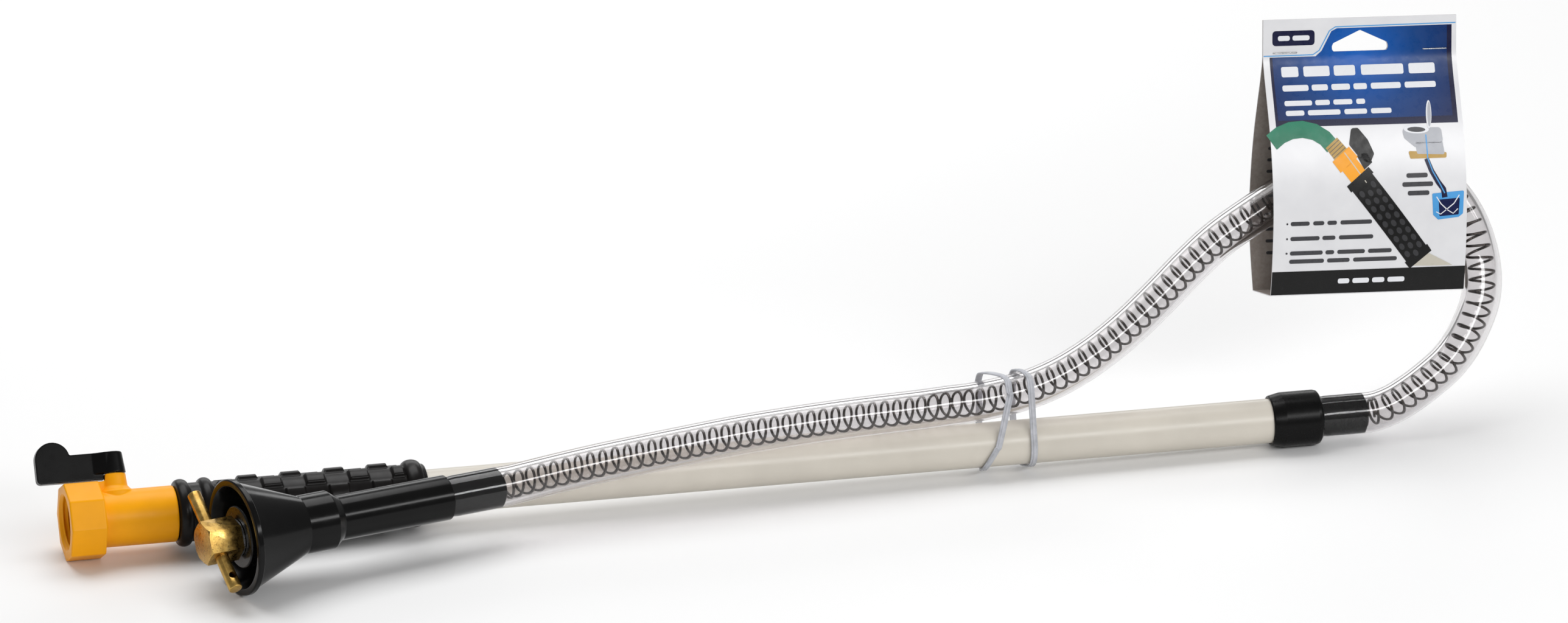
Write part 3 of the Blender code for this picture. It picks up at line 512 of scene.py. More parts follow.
YELLOW = moulded("yellow_plastic", (0.93, 0.385, 0.0008), 0.38, 0.04, 0.05, 0.05, 0.2)
LEVER_BLACK = moulded("lever_plastic", (0.003, 0.003, 0.003), 0.28, 0.03, 0.2, 0.04, 0.13)
NOZZLE_BLACK = moulded("nozzle_plastic", (0.003, 0.003, 0.003), 0.17, 0.03, 0.2, 0.02, 0.17)
BUSHING_BLACK = moulded("bushing_plastic", (0.005, 0.005, 0.005), 0.26, 0.04, 0.2, 0.04, 0.3)
RUBBER = moulded("grip_rubber", (0.0045, 0.0035, 0.0032), 0.33, 0.05, 0.25, 0.1, 0.2)
SEAL = moulded("seal_rubber", (0.012, 0.012, 0.012), 0.5, 0.06, 0.2, 0.08)
SEAT_WHITE = moulded("seat_plastic", (0.80, 0.80, 0.77), 0.4, 0.05, 0.05, 0.04)


def pipe_material():
    color = (0.600, 0.560, 0.490)
    m = Nodes("pipe_plastic", color, 0.34)
    m.color(m.colours(m.noise(35, 4, 0.55), [(0.3, dim(color, 0.94)), (0.7, dim(color, 1.04))]))
    m.rough(m.spread(m.noise(140, 4), 0.28, 0.40))
    m.bump(m.noise(900, 3, 0.6, m.stretched((0.02, 1, 1))), 0.06, 0.0002)
    return m.material


def brass_material(name, speckle):
    color = (0.50, 0.315, 0.085)
    m = Nodes(name, color, 0.30, 1.0)
    stain = m.noise(160, 6, 0.65)
    tone = m.colours(stain, [(0.30, (0.30, 0.165, 0.04)), (0.50, color), (0.75, (0.64, 0.44, 0.15))])
    if speckle:
        pits = m.noise(1500, 2, 0.5)
        tone = m.blend(m.spread(pits, 0.0, 1.0, 0.63, 0.70), tone, (0.10, 0.055, 0.02))
    m.color(tone)
    m.rough(m.spread(m.noise(420, 5), 0.22, 0.42))
    m.bump(m.noise(1400, 3), 0.10, 0.0002)
    return m.material


def steel_material(name, color, roughness):
    m = Nodes(name, color, roughness, 1.0)
    m.color(m.colours(m.noise(300, 4), [(0.3, dim(color, 0.7)), (0.7, dim(color, 1.2))]))
    m.rough(m.spread(m.noise(700, 3), roughness - 0.08, roughness + 0.10))
    return m.material


def vinyl_material():
    """Clear vinyl, faintly smoky. It lets the lamps through to what it holds."""
    color = (0.81, 0.795, 0.80)
    m = Nodes("clear_vinyl", color, 0.04, 0.0, Transmission_Weight=1.0, IOR=1.45)
    m.color(m.colours(m.noise(30, 3), [(0.3, dim(color, 0.985)), (0.7, dim(color, 1.01))]))
    m.rough(m.spread(m.noise(60, 3), 0.02, 0.06))
    m.bump(m.noise(40, 2), 0.012, 0.001)
    path = m.add("ShaderNodeLightPath")
    clear = m.add("ShaderNodeBsdfTransparent")
    clear.inputs["Color"].default_value = (0.86, 0.85, 0.855, 1)
    mix = m.add("ShaderNodeMixShader")
    m.link(path.outputs["Is Shadow Ray"], mix.inputs[0])
    m.link(m.shader.outputs["BSDF"], mix.inputs[1])
    m.link(clear.outputs["BSDF"], mix.inputs[2])
    m.link(mix.outputs["Shader"], m.tree.nodes["Material Output"].inputs["Surface"])
    return m.material


def strap_material():
    color = (0.52, 0.53, 0.57)
    m = Nodes("tie_vinyl", color, 0.30, 0.0)
    m.shader.inputs["Alpha"].default_value = 0.82
    m.color(m.colours(m.noise(300, 3), [(0.3, dim(color, 0.85)), (0.7, dim(color, 1.15))]))
    m.bump(m.noise(500, 3), 0.1, 0.0003)
    return m.material


PIPE_CREAM = pipe_material()
BRASS = brass_material("brass", False)
BRASS_CAST = brass_material("brass_bar", True)
SPRING_STEEL = steel_material("spring_steel", (0.085, 0.074, 0.068), 0.30)
CLIP_STEEL = steel_material("clip_steel", (0.50, 0.50, 0.50), 0.3)
VINYL = vinyl_material()
STRAP = strap_material()

# ---------------------------------------------------------------- hose and spring

HOSE_R, HOSE_WALL, HOSE_END_R = 9.525 * MM, 2.5 * MM, 9.75 * MM
COLLAR_END, COUPLING_END = 611.0 * MM, 634.0 * MM
BARREL_END, NOZZLE_END = 111.0 * MM, 139.5 * MM
HOSE_LEAD, GAP = 2.0 * MM, 0.3 * MM
SPRING_COIL_R, SPRING_WIRE_R, SPRING_PITCH = 5.95 * MM, 0.66 * MM, 6.15 * MM
SPRING_LEAN = 1.5 * MM  # the turns slump a little along the hose
LEAN_FADE = 4 * MM
SPRING_MARGIN = 0.8 * MM  # between the coil and each end of the hose's free length
CLOSED_PITCH, CLOSED_LENGTH = 1.35 * MM, 1.4 * MM  # the turns at each end lie closer together
HOSE_HOLD = 13 * MM  # how far back on a spigot the hose's curve starts
HOSE_EASE, HOSE_END_ROUNDING = 9 * MM, 0.35 * MM
HOSE_ROUTE = (
    (0.6470, 0.0008, 0.0154), (0.6570, 0.0023, 0.0199), (0.6667, 0.0045, 0.0253),
    (0.6762, 0.0070, 0.0317), (0.6840, 0.0098, 0.0395), (0.6903, 0.0132, 0.0486),
    (0.6952, 0.0170, 0.0585), (0.6972, 0.0214, 0.0688), (0.6966, 0.0264, 0.0800),
    (0.6932, 0.0317, 0.0925), (0.6868, 0.0360, 0.1040), (0.6765, 0.0391, 0.1150),
    (0.6610, 0.0404, 0.1225), (0.6425, 0.0408, 0.1250), (0.6240, 0.0394, 0.1223),
    (0.6060, 0.0372, 0.1155), (0.5883, 0.0344, 0.1070), (0.5690, 0.0305, 0.0968),
    (0.5532, 0.0263, 0.0858), (0.5372, 0.0215, 0.0732), (0.5214, 0.0171, 0.0615),
    (0.5057, 0.0136, 0.0516), (0.4902, 0.0110, 0.0439), (0.4750, 0.0090, 0.0388),
    (0.4600, 0.0074, 0.0361), (0.4430, 0.0055, 0.0349), (0.4290, 0.0031, 0.0354),
    (0.4136, 0.0004, 0.0358), (0.3836, -0.0020, 0.0360), (0.3533, -0.0050, 0.0358),
    (0.3230, -0.0083, 0.0350), (0.2925, -0.0120, 0.0333), (0.2622, -0.0150, 0.0311),
    (0.2460, -0.0167, 0.0297), (0.2319, -0.0185, 0.0284), (0.2180, -0.0208, 0.0272),
)


def hose_line(step):
    def on_pipe(station):
        return WAND @ Vector((station, 0, 0))

    def on_nozzle(station):
        return NOZZLE @ Vector((station, 0, 0))

    route = [on_pipe(COUPLING_END - HOSE_HOLD), on_pipe(COUPLING_END + HOSE_LEAD)]
    route += [Vector(p) + INLET for p in HOSE_ROUTE]
    route += [on_nozzle(NOZZLE_END + HOSE_LEAD), on_nozzle(NOZZLE_END - HOSE_HOLD)]
    middle = smooth_line(route, step)
    first, last = on_pipe(COLLAR_END + GAP), on_nozzle(BARREL_END + GAP)
    lead = [first.lerp(middle[0], i / 8) for i in range(8)]
    tail = [middle[-1].lerp(last, i / 8) for i in range(1, 9)]
    return lead, middle, tail


lead, middle, tail = hose_line(2.5 * MM)
HOSE_LINE = lead + middle + tail
LENGTH = distances(HOSE_LINE)[-1]


def hose():
    frames = frames_along(HOSE_LINE)
    sides = 56
    along = distances(HOSE_LINE)
    shape = bmesh.new()
    outer, inner = [], []
    for (point, side, up, _), at in zip(frames, along):
        nearer = min(at - (COUPLING_END - COLLAR_END), LENGTH - at - (NOZZLE_END - BARREL_END))
        share = min(1.0, max(0.0, nearer / HOSE_EASE))
        share = share * share * (3 - 2 * share)
        end_round = HOSE_END_ROUNDING if at in (along[0], along[-1]) else 0.0
        out_r = HOSE_END_R + (HOSE_R - HOSE_END_R) * share - end_round
        in_r = out_r + end_round - HOSE_WALL
        for rings, radius in ((outer, out_r), (inner, in_r)):
            ring = circle(radius, sides)
            rings.append([shape.verts.new(point + side * a + up * b) for a, b in ring])
    skin(shape, outer)
    skin(shape, inner, flip=True)
    for a, b in ((outer[0], inner[0]), (inner[-1], outer[-1])):
        for k in range(sides):
            n = (k + 1) % sides
            shape.faces.new((a[n], a[k], b[k], b[n]))
    return piece("clear_hose", shape, VINYL, "wand", None, ["flexible_hose"], 60)


def spring():
    """A coil of round wire along the hose, with a closed turn at each end."""
    _, middle, _ = hose_line(0.5 * MM)
    frames = frames_along(middle)
    along = distances(middle)
    total = along[-1]
    start, stop = SPRING_MARGIN, total - SPRING_MARGIN
    per_turn = 26
    spots, at, turn = [], start, 0.0
    while at < stop:
        from_end = min(at - start, stop - at)
        pitch = CLOSED_PITCH if from_end < CLOSED_LENGTH else SPRING_PITCH
        spots.append((at, turn))
        at += pitch / per_turn
        turn += 2 * math.pi / per_turn
    line, index = [], 0
    for at, turn in spots:
        while index < len(along) - 2 and along[index + 1] < at:
            index += 1
        share = (at - along[index]) / (along[index + 1] - along[index])
        p0, s0, u0, ahead = frames[index]
        fade = min(1.0, (at - start) / LEAN_FADE, (stop - at) / LEAN_FADE)
        lean = SPRING_LEAN * math.cos(turn) * fade * min(1.0, max(-1.0, 1.5 * ahead.x))
        p1, s1, u1, _ = frames[index + 1]
        point, side, up = p0.lerp(p1, share), s0.lerp(s1, share), u0.lerp(u1, share)
        line.append(
            point + side * (SPRING_COIL_R * math.cos(turn)) + up * (SPRING_COIL_R * math.sin(turn))
            + ahead * lean
        )
    wire = frames_along(line, Vector((1, 0, 0)))
    shape = swept(wire, circle(SPRING_WIRE_R, 8))
    return piece("coil_spring", shape, SPRING_STEEL, "wand", None, ["hose_spring"], 60)


clear_hose = hose()
coil = spring()

# ---------------------------------------------------------------- inlet valve


def cone(start, end, radius, end_radius=None, rounding=0.0, sides=64, place=None):
    last = radius if end_radius is None else end_radius
    outline = [(start, 0), (start, radius), (end, last), (end, 0)]
    shape = lathe(rounded(outline, [0, rounding, rounding, 0], 4) if rounding else outline, sides)
    return moved(shape, place) if place is not None else shape


BODY_VOXEL, LEVER_VOXEL = 0.33 * MM, 0.27 * MM
TUBE_R, VALVE_LENGTH = 13.35 * MM, 52.7 * MM
BOSS_ROOT_R, BOSS_TOP_R, BOSS_HEIGHT = 6.9 * MM, 6.0 * MM, 21 * MM
NOTCH_INNER_R, NOTCH_OUTER_R = 4.45 * MM, 9.8 * MM
THREAD_FROM, THREAD_TO, THREAD_R = 1.4 * MM, 9.0 * MM, 12.7 * MM
THREAD_DEPTH, THREAD_PITCH = 0.95 * MM, 2.2 * MM
UP_AT_STEM = Matrix.Translation((STEM_X, 0, 0)) @ TURN_UP


def thread(start, end, radius, depth, pitch, sides=72):
    """A ridge that winds inside a bore, pointing inwards."""
    turns = (end - start) / pitch
    count = int(turns * sides)
    shape = bmesh.new()
    rings = []
    for i in range(count + 1):
        turn = 2 * math.pi * i / sides
        at = start + pitch * i / sides
        fade = min(1.0, i / (sides * 0.2), (count - i) / (sides * 0.2))
        top = radius - depth * fade
        section = [
            (at - 0.36 * pitch, radius + 0.4 * MM), (at - 0.10 * pitch, top),
            (at + 0.10 * pitch, top), (at + 0.36 * pitch, radius + 0.4 * MM),
        ]
        rings.append(
            [shape.verts.new((x, r * math.sin(turn), r * math.cos(turn))) for x, r in section]
        )
    skin(shape, rings)
    cap_ends(shape, rings)
    return shape


def valve_body():
    corner_r = OCTAGON_FLATS / 2 / math.cos(math.pi / 8)
    octagon = [
        (corner_r * math.cos(math.pi * (2 * i + 1) / 8), corner_r * math.sin(math.pi * (2 * i + 1) / 8))
        for i in range(8)
    ]
    nut = extruded(octagon, OCTAGON_LENGTH, (OCTAGON_LENGTH / 2, 0, 0), (0, 1, 0), (0, 0, 1), (1, 0, 0))
    bmesh.ops.bevel(nut, geom=nut.edges[:], offset=0.55 * MM, segments=2, affect="EDGES", profile=0.5)
    tube = cone(8 * MM, VALVE_LENGTH, TUBE_R, None, 0.6 * MM, 96)
    fillet = lathe(
        [(15 * MM, 0), (15 * MM, 15.2 * MM), (17.0 * MM, 15.2 * MM)]
        + [
            (17.0 * MM + 1.6 * MM * (1 - math.cos(a)), 13.3 * MM + 1.6 * MM * (1 - math.sin(a)))
            for a in (math.pi / 2 * i / 5 for i in range(6))
        ]
        + [(19.5 * MM, 13.3 * MM), (19.5 * MM, 0)],
        96,
    )
    boss = cone(7.9 * MM, BOSS_HEIGHT, BOSS_ROOT_R, BOSS_TOP_R, 0.35 * MM, 68, UP_AT_STEM)
    skirt = lathe(mm([(8, 0), (8, 9.5), (12.2, 9.2), (13.4, 7.8), (15.0, 6.3), (15.0, 0)]), 64)
    moved(skirt, UP_AT_STEM)
    web = box((15.4 * MM, -3.9 * MM, 8 * MM), (STEM_X + 0.1 * MM, 3.9 * MM, 17.66 * MM))
    bore = lathe(mm([
        (-5, 0), (-5, 13.6), (0.0, 13.6), (0.9, 12.7), (12.5, 12.7), (12.5, 5.5), (15.7, 5.5),
        (15.7, 9.5), (39.5, 9.5), (39.5, 10.97), (58, 10.97), (58, 0),
    ]))
    stem_hole = lathe(mm([(0, 0), (0, 4.3), (10.5, 4.3), (10.5, 3.3), (26, 3.3), (26, 0)]), 48)
    moved(stem_hole, UP_AT_STEM)
    spare = math.asin(2.8 / 4.4)
    quarter = math.pi / 2 + 2 * spare
    outer = arc(NOTCH_OUTER_R, math.pi + spare, -quarter, 10)
    inner = arc(NOTCH_INNER_R, math.pi / 2 - spare, quarter, 10)
    notch = extruded(outer + inner, 5 * MM, (STEM_X, 0, 20.5 * MM), (1, 0, 0), (0, 1, 0), (0, 0, 1))
    ridge = thread(THREAD_FROM, THREAD_TO, THREAD_R, THREAD_DEPTH, THREAD_PITCH)
    solids, cutters = [tube, fillet, boss, skirt, web], [stem_hole, bore, notch]
    mesh = fused(nut, solids, cutters, [ridge], voxel=BODY_VOXEL, smooth=2)
    return piece("inlet_valve_body", mesh, YELLOW, "wand", VALVE, ["valve_body"], 180)


def valve_lever():
    start = -11.3 * MM - STEM_X
    dome_r, dome_top = 8.4 * MM, 38.2 * MM
    top, foot, thick = 31.5 * MM, 18.6 * MM, 5.0 * MM
    dome = (start + dome_r, dome_top - dome_r)
    meet = math.asin((top - dome[1]) / dome_r)
    outline = [
        (dome[0] + dome_r * math.cos(a), dome[1] + dome_r * math.sin(a))
        for a in (meet + (math.pi - meet) * i / 20 for i in range(21))
    ]
    outline += [
        (start + 2.2 * MM * (1 - math.cos(a)), foot + 2.2 * MM * (1 - math.sin(a)))
        for a in (math.pi / 2 * i / 5 for i in range(6))
    ]
    outline += [(-4.75 * MM, foot), (-4.75 * MM, 21.3 * MM), (0.4 * MM, 21.3 * MM), (0.4 * MM, top)]
    blade = extruded(outline, thick)
    cap = lathe(rounded_mm([(21.3, 0), (21.3, 6.3), (31.5, 5.3), (31.5, 0)], [0, 0.2, 0.9, 0]), 64)
    moved(cap, TURN_UP)
    neck = extruded(
        mm([(-9.5, -2.45), (-3.5, -5.0), (0.5, -5.2), (0.5, 5.2), (-3.5, 5.0), (-9.5, 2.45)]),
        9.9 * MM, (0, 0, 26.45 * MM), (1, 0, 0), (0, 1, 0), (0, 0, 1),
    )
    socket = box((-2.4 * MM, -2.4 * MM, 19 * MM), (2.4 * MM, 2.4 * MM, 28.3 * MM))
    screw = lathe(mm([(30.9, 0), (30.9, 3.3), (33, 3.3), (33, 0)]), 40)
    moved(screw, TURN_UP)
    mesh = fused(blade, [cap, neck], [socket, screw], voxel=LEVER_VOXEL, smooth=3)
    return piece("thumb_lever", mesh, LEVER_BLACK, "valve_control", STEM, ["valve_lever"], 180)


valve_body()
valve_lever()


# ---------------------------------------------------------------- pipe, grip and coupling

PIPE_R, PIPE_BORE_R, PIPE_START, PIPE_END = 10.67 * MM, 7.9 * MM, 39.8 * MM, 606.0 * MM


def pipe():
    outline = [(PIPE_START, PIPE_BORE_R), (PIPE_START, PIPE_R)]
    outline += [(PIPE_START + (PIPE_END - PIPE_START) * i / 24, PIPE_R) for i in range(1, 24)]
    outline += [(PIPE_END, PIPE_R), (PIPE_END, PIPE_BORE_R)]
    piece("cream_pipe", lathe(outline, 96), PIPE_CREAM, "wand", WAND, ["rigid_pipe"], 50)


def soft_step(x, width):
    t = min(1.0, max(0.0, x / width))
    return t * t * (3 - 2 * t)


GRIP_START, GRIP_END = 53.0 * MM, 173.5 * MM
GRIP_BEADS = ((56.3, 3.3, 16.0), (67.8, 3.0, 15.9), (167.6, 4.2, 16.1))
PAD_PERIOD, PAD_LENGTH, PAD_ROWS = 20.9 * MM, 10.6 * MM, 10
PADS_FROM, PADS_TO = 72.6 * MM, 162.8 * MM
PAD_BASE_R, PAD_GAP = 14.6 * MM, 0.30 * MM
GRIP_TURN = math.radians(14)
# In millimetres, as the beads are
GRIP_NECK_R, GRIP_SKIN_R, GRIP_MOST_R = 13.9, 13.7, 16.1
NECK_TO, LIP_FROM, LIP_R = 71, 170, 13.6
PAD_RISE, PAD_CROWN = 1.35, 0.35


def grip_radius(x, turn):
    """The grip's outer radius at a station and an angle."""
    at = x / MM
    base = GRIP_NECK_R if at < NECK_TO else GRIP_SKIN_R
    height = base
    for middle, half, top in GRIP_BEADS:
        t = abs(at - middle) / half
        if t < 1:
            height = max(height, base + (top - base) * math.sqrt(1 - t * t) ** 1.1)
    if at > LIP_FROM:
        height = max(height, LIP_R - 0.5 * (at - LIP_FROM) / 3.5)
    if PADS_FROM < x < PADS_TO:
        pitch = 2 * math.pi / PAD_ROWS
        row = math.floor(turn / pitch + 0.5)
        across = abs(turn - row * pitch) * PAD_BASE_R  # from the row's middle line
        half_width = PAD_BASE_R * pitch / 2 - PAD_GAP
        shift = (x - PADS_FROM) / PAD_PERIOD + (0.5 if row % 2 else 0.0)
        from_left = (shift - math.floor(shift)) * PAD_PERIOD - 0.15 * MM
        from_right = PAD_LENGTH - 0.3 * MM - from_left
        edge = min(
            soft_step(from_left, 1.3 * MM), soft_step(from_right, 0.75 * MM),
            soft_step(half_width - across, 1.1 * MM),
        )
        inside = min(soft_step(x - PADS_FROM, 0.5 * MM), soft_step(PADS_TO - x, 0.5 * MM))
        crown = PAD_CROWN * (1 - (across / half_width) ** 2) if across < half_width else 0
        height += (PAD_RISE + crown) * edge * inside
    return min(height, GRIP_MOST_R) * MM


def grip():
    sides, step = 180, 0.45 * MM
    length = GRIP_END - GRIP_START
    count = int(length / step)
    bore = PIPE_R + 0.3 * MM
    shape = bmesh.new()
    rings = []
    rows = [(GRIP_START, None)]
    rows += [(GRIP_START + length * i / count, i) for i in range(count + 1)]
    rows.append((GRIP_END, None))
    for x, i in rows:
        ring = []
        for k in range(sides):
            turn = 2 * math.pi * k / sides
            radius = bore if i is None else grip_radius(x, turn)
            if i in (0, count):
                radius -= 0.5 * MM
            elif i in (1, count - 1):
                radius -= 0.12 * MM
            ring.append(shape.verts.new((x, radius * math.sin(turn), radius * math.cos(turn))))
        rings.append(ring)
    skin(shape, rings + rings[:1])
    place = WAND @ placed((0, 0, 0), (GRIP_TURN, 0, 0))
    piece("rubber_grip", shape, RUBBER, "wand", place, ["handle_grip"], 75)


def coupling():
    outline = rounded_mm(
        [(586.5, 10.97), (586.5, 11.5), (587.0, 12.0), (592.5, 13.2), (608.6, 13.2), (610.1, 12.8),
         (611.0, 11.6), (611.0, 7.3), (633.2, 7.3), (634, 6.7), (634, 4.8), (606.3, 4.8), (606.3, 10.97)],
        [0.2, 0.3, 0.4, 1.2, 0.8, 0.8, 0.3, 0.0, 0.3, 0.3, 0.2, 0, 0],
    )
    piece("hose_collar", lathe(outline, 96), LEVER_BLACK, "wand", WAND, ["hose_coupling"], 40)


pipe()
grip()
coupling()

# ---------------------------------------------------------------- nozzle and rotor


def nozzle():
    outline = [
        (0.0, 24.6), (0.0, 27.2), (0.5, 27.75), (2.6, 27.75), (3.0, 27.3), (3.2, 26.35), (34, 14.1),
        (49, 14.1), (53.5, 10.75), (110.6, 10.75), (111, 10.3), (111, 7.3), (138.6, 7.3), (139.5, 6.6),
        (139.5, 4.5), (35, 4.5), (35, 7.4), (27, 7.4), (27, 8.3), (6.3, 8.3), (6.3, 15), (18, 15),
        (18, 17.7), (3.0, 23.4),
    ]
    radii = [0.5, 0.5, 0.4, 0.4, 0.3, 0.3, 1.2, 0.9, 1.2, 0.3, 0.3, 0.2, 0.3, 0.3, 0.1, 0, 0, 0, 0, 0.3,
             0.3, 1.2, 1.2, 1.0]
    shape = lathe(rounded_mm(outline, radii), 128)
    piece("flared_nozzle", shape, NOZZLE_BLACK, "wand", NOZZLE, ["nozzle_body"], 40)

    bushing = [(2.0, 5.3), (2.0, 14.4), (2.6, 15), (6.0, 15), (6.0, 8.0), (26.7, 8.0), (26.7, 5.3)]
    shape = lathe(rounded_mm(bushing, [0.3, 0.6, 0.6, 0.2, 0, 0, 0]))
    piece("hub_bushing", shape, BUSHING_BLACK, "wand", NOZZLE, ["rotor_bushing"], 40)


ARM_STATION, ARM_HALF, ARM_R = -10.0 * MM, 27.4 * MM, 3.25 * MM
ARM_UP = Vector((0, math.sin(ARM_TURN), math.cos(ARM_TURN)))
ARM_FRAME = Matrix.Translation((ARM_STATION, 0, 0)) @ Vector((1, 0, 0)).rotation_difference(
    ARM_UP
).to_matrix().to_4x4()


def rotor():
    flats, turn = 18.3 * MM, math.radians(-7)
    corner = flats / 2 / math.cos(math.pi / 6)
    hexagon = [
        (corner * math.cos(turn + math.pi * i / 3), corner * math.sin(turn + math.pi * i / 3))
        for i in range(6)
    ]
    bar = extruded(hexagon, 16.7 * MM, (-7.85 * MM, 0, 0), (0, -1, 0), (0, 0, 1), (1, 0, 0))
    face = flats / 2 + 0.35 * MM
    rounding = lathe(
        [(-18 * MM, face - 1.2 * MM), (-18 * MM, 14 * MM), (-13 * MM, 14 * MM), (-15.6 * MM, face + 0.9 * MM),
         (-16.2 * MM, face)], 128,
    )
    shaft = cone(-3 * MM, 30.5 * MM, 5.0 * MM, None, 0.3 * MM, 48)
    groove = lathe(mm([(27.5, 4.2), (27.5, 7), (29.1, 7), (29.1, 4.2)]), 48)
    bore = cone(-9 * MM, 34 * MM, 2.6 * MM, None, 0, 32)
    cross = moved(cone(-15 * MM, 15 * MM, ARM_R + 0.12 * MM, None, 0, 64), ARM_FRAME)
    mesh = fused(bar, [shaft], [rounding, groove, bore, cross], bevel=0.14 * MM)
    piece("brass_hub", mesh, BRASS_CAST, "spray_rotor", NOZZLE, ["rotor_hub"], 38)

    outline = rounded(
        [(-ARM_HALF, 0), (-ARM_HALF, ARM_R), (ARM_HALF, ARM_R), (ARM_HALF, 0)], [0, 0.4 * MM, 0.4 * MM, 0], 3
    )
    tube = moved(lathe(outline, 64), ARM_FRAME)
    inside = moved(cone(-24.9 * MM, 24.9 * MM, 2.1 * MM, None, 0, 32), ARM_FRAME)
    across = Vector((1, 0, 0)).cross(ARM_UP)
    jets = []
    for side in (-1, 1):
        way = Vector((1, 0, 0)).rotation_difference(across * -side).to_matrix().to_4x4()
        spot = Vector((ARM_STATION, 0, 0)) + ARM_UP * side * (ARM_HALF - 6.2 * MM)
        jets.append(moved(cone(0, 6 * MM, 1.75 * MM, None, 0, 40), Matrix.Translation(spot) @ way))
    mesh = fused(tube, [], [inside] + jets, bevel=0.12 * MM)
    piece("brass_spray_arm", mesh, BRASS, "spray_rotor", NOZZLE, ["spray_arm"], 38)


nozzle()
rotor()

# ---------------------------------------------------------------- tie


TIE_STANDOFF = 1.15 * MM  # the strap's middle line, off the hose and the pipe
LIFT_FROM = 0.72  # share of the turn's height


def tie_turn(name, station, node, slant, lift):
    """One loose turn of a flat ribbed strap round the hose and the pipe."""
    line = min(middle, key=lambda p: abs(p.x - INLET.x - station))
    hose_at = WAND.inverted() @ line
    angle = math.atan2(hose_at.z, hose_at.y)
    distance = math.hypot(hose_at.y, hose_at.z)
    pipe_r, hose_r = PIPE_R + TIE_STANDOFF, HOSE_R + TIE_STANDOFF
    lean = math.acos((pipe_r - hose_r) / distance)
    loop = [
        (hose_at.y + y, hose_at.z + z) for y, z in arc(hose_r, angle - lean, 2 * lean, 20)
    ]
    loop += arc(pipe_r, angle + lean, 2 * math.pi - 2 * lean, 22)
    points = []
    low, high = min(p[1] for p in loop), max(p[1] for p in loop)
    for y, z in loop:
        share = (z - low) / (high - low)
        front = soft_step(-(y - hose_at.y * share) + 6 * MM, 12 * MM)  # 1 on the camera's side
        x = station + slant(share, front)
        rise = lift * soft_step(share - LIFT_FROM, 0.28)
        points.append(Vector((x, y, z + rise)))
    closed = [points[-1]] + points + points[:2]
    fine = smooth_line(closed + [points[2]], 0.7 * MM)[:-1]
    count = len(fine)
    frames = []
    center = Vector((station, hose_at.y / 2, hose_at.z / 2))
    for i, point in enumerate(fine):
        ahead = (fine[(i + 1) % count] - fine[i - 1]).normalized()
        outward = point - center
        outward.x = 0
        outward = (outward - ahead * outward.dot(ahead)).normalized()
        frames.append((point, ahead.cross(outward).normalized(), outward, ahead))
    section = mm([
        (-1.6, -0.25), (-1.45, -0.42), (1.45, -0.42), (1.6, -0.25), (1.6, 0.25), (1.35, 0.42), (1.0, 0.20),
        (0.62, 0.12), (0.42, 0.42), (0.0, 0.52), (-0.42, 0.42), (-0.62, 0.12), (-1.0, 0.20), (-1.35, 0.42),
        (-1.6, 0.25),
    ])
    shape = swept(frames, section, loop=True)
    piece(name, shape, STRAP, "wand", WAND, [node], 60)


tie_turn(
    "strap_turn_left", 450.6 * MM, "tie_turn_left",
    lambda share, front: (front * (13.0 * soft_step(share, 0.75) - 6.0) - (1 - front) * 3.5) * MM,
    2.4 * MM,
)
tie_turn(
    "strap_turn_right", 464.5 * MM, "tie_turn_right",
    lambda share, front: (1.0 + front * (2.6 + 0.6 * soft_step(share - 0.5, 0.5)) - (1 - front) * 1.5) * MM,
    0.3 * MM,
)

# ---------------------------------------------------------------- header card

CARD_WIDTH, CARD_HEIGHT, CARD_BELOW = 98.0 * MM, 131.0 * MM, 61.0 * MM
CARD_AHEAD, CARD_LEFT, CARD_THICK = 0.5 * MM, 2.0 * MM, 0.45 * MM
CARD_SHAPE = (
    (0.0, 12.5, 12.5), (0.1, 14.6, 15.5), (0.2, 15.9, 17.6), (0.3, 16.4, 18.2), (0.4, 15.6, 17.0),
    (0.5, 13.6, 14.7), (0.6, 10.6, 11.4), (0.7, 6.6, 7.0), (0.8, 2.4, 2.6), (0.87, 0.45, 0.45),
    (1.0, 0.45, 0.45),
)
CARD_TOP = CARD_HEIGHT - CARD_BELOW
CLOSED_FROM = 0.87  # share of the height above which the panels lie on each other


def card_reach(share, side):
    """How far a panel's middle stands from the card's middle plane, on a smooth curve."""
    column = 1 if side < 0 else 2
    rows = CARD_SHAPE
    for i, (a, b) in enumerate(zip(rows, rows[1:])):
        if share <= b[0] + 1e-9:
            t = (share - a[0]) / (b[0] - a[0])
            y0, y1 = a[column], b[column]
            before = rows[i - 1] if i > 0 else None
            after = rows[i + 2] if i + 2 < len(rows) else None
            slope0 = (y1 - before[column]) / (b[0] - before[0]) if before else (y1 - y0) / (b[0] - a[0])
            slope1 = (after[column] - y0) / (after[0] - a[0]) if after else 0.0
            if b[0] >= CLOSED_FROM:
                slope1 = 0.0
            if a[0] >= CLOSED_FROM:
                slope0 = 0.0
            d = b[0] - a[0]
            return (
                (2 * t**3 - 3 * t**2 + 1) * y0 + (t**3 - 2 * t**2 + t) * slope0 * d
                + (-2 * t**3 + 3 * t**2) * y1 + (t**3 - t**2) * slope1 * d
            ) * MM
    return rows[-1][column] * MM


def on_card(u, v, side=-1, lift=0.0):
    """A point on the card's outside (lift 0) or above it. u is from its left edge, v from its top."""
    share = min(1.0, max(0.0, 1 - v / CARD_HEIGHT))
    reach = card_reach(share, side) + CARD_THICK / 2 + lift
    x = u - CARD_WIDTH / 2 - CARD_LEFT
    return Vector((x, (-reach if side < 0 else reach) - CARD_AHEAD, CARD_TOP - v))


HANG_HOLE = [
    (u * MM, v * MM)
    for u, v in rounded(
        [(34.6, 16.0), (63.4, 16.0), (63.0, 12.2), (49.5, 6.2), (48.5, 6.2), (35.0, 12.2)],
        [1.9, 1.9, 2.2, 1.5, 1.5, 2.2], 5,
    )
]


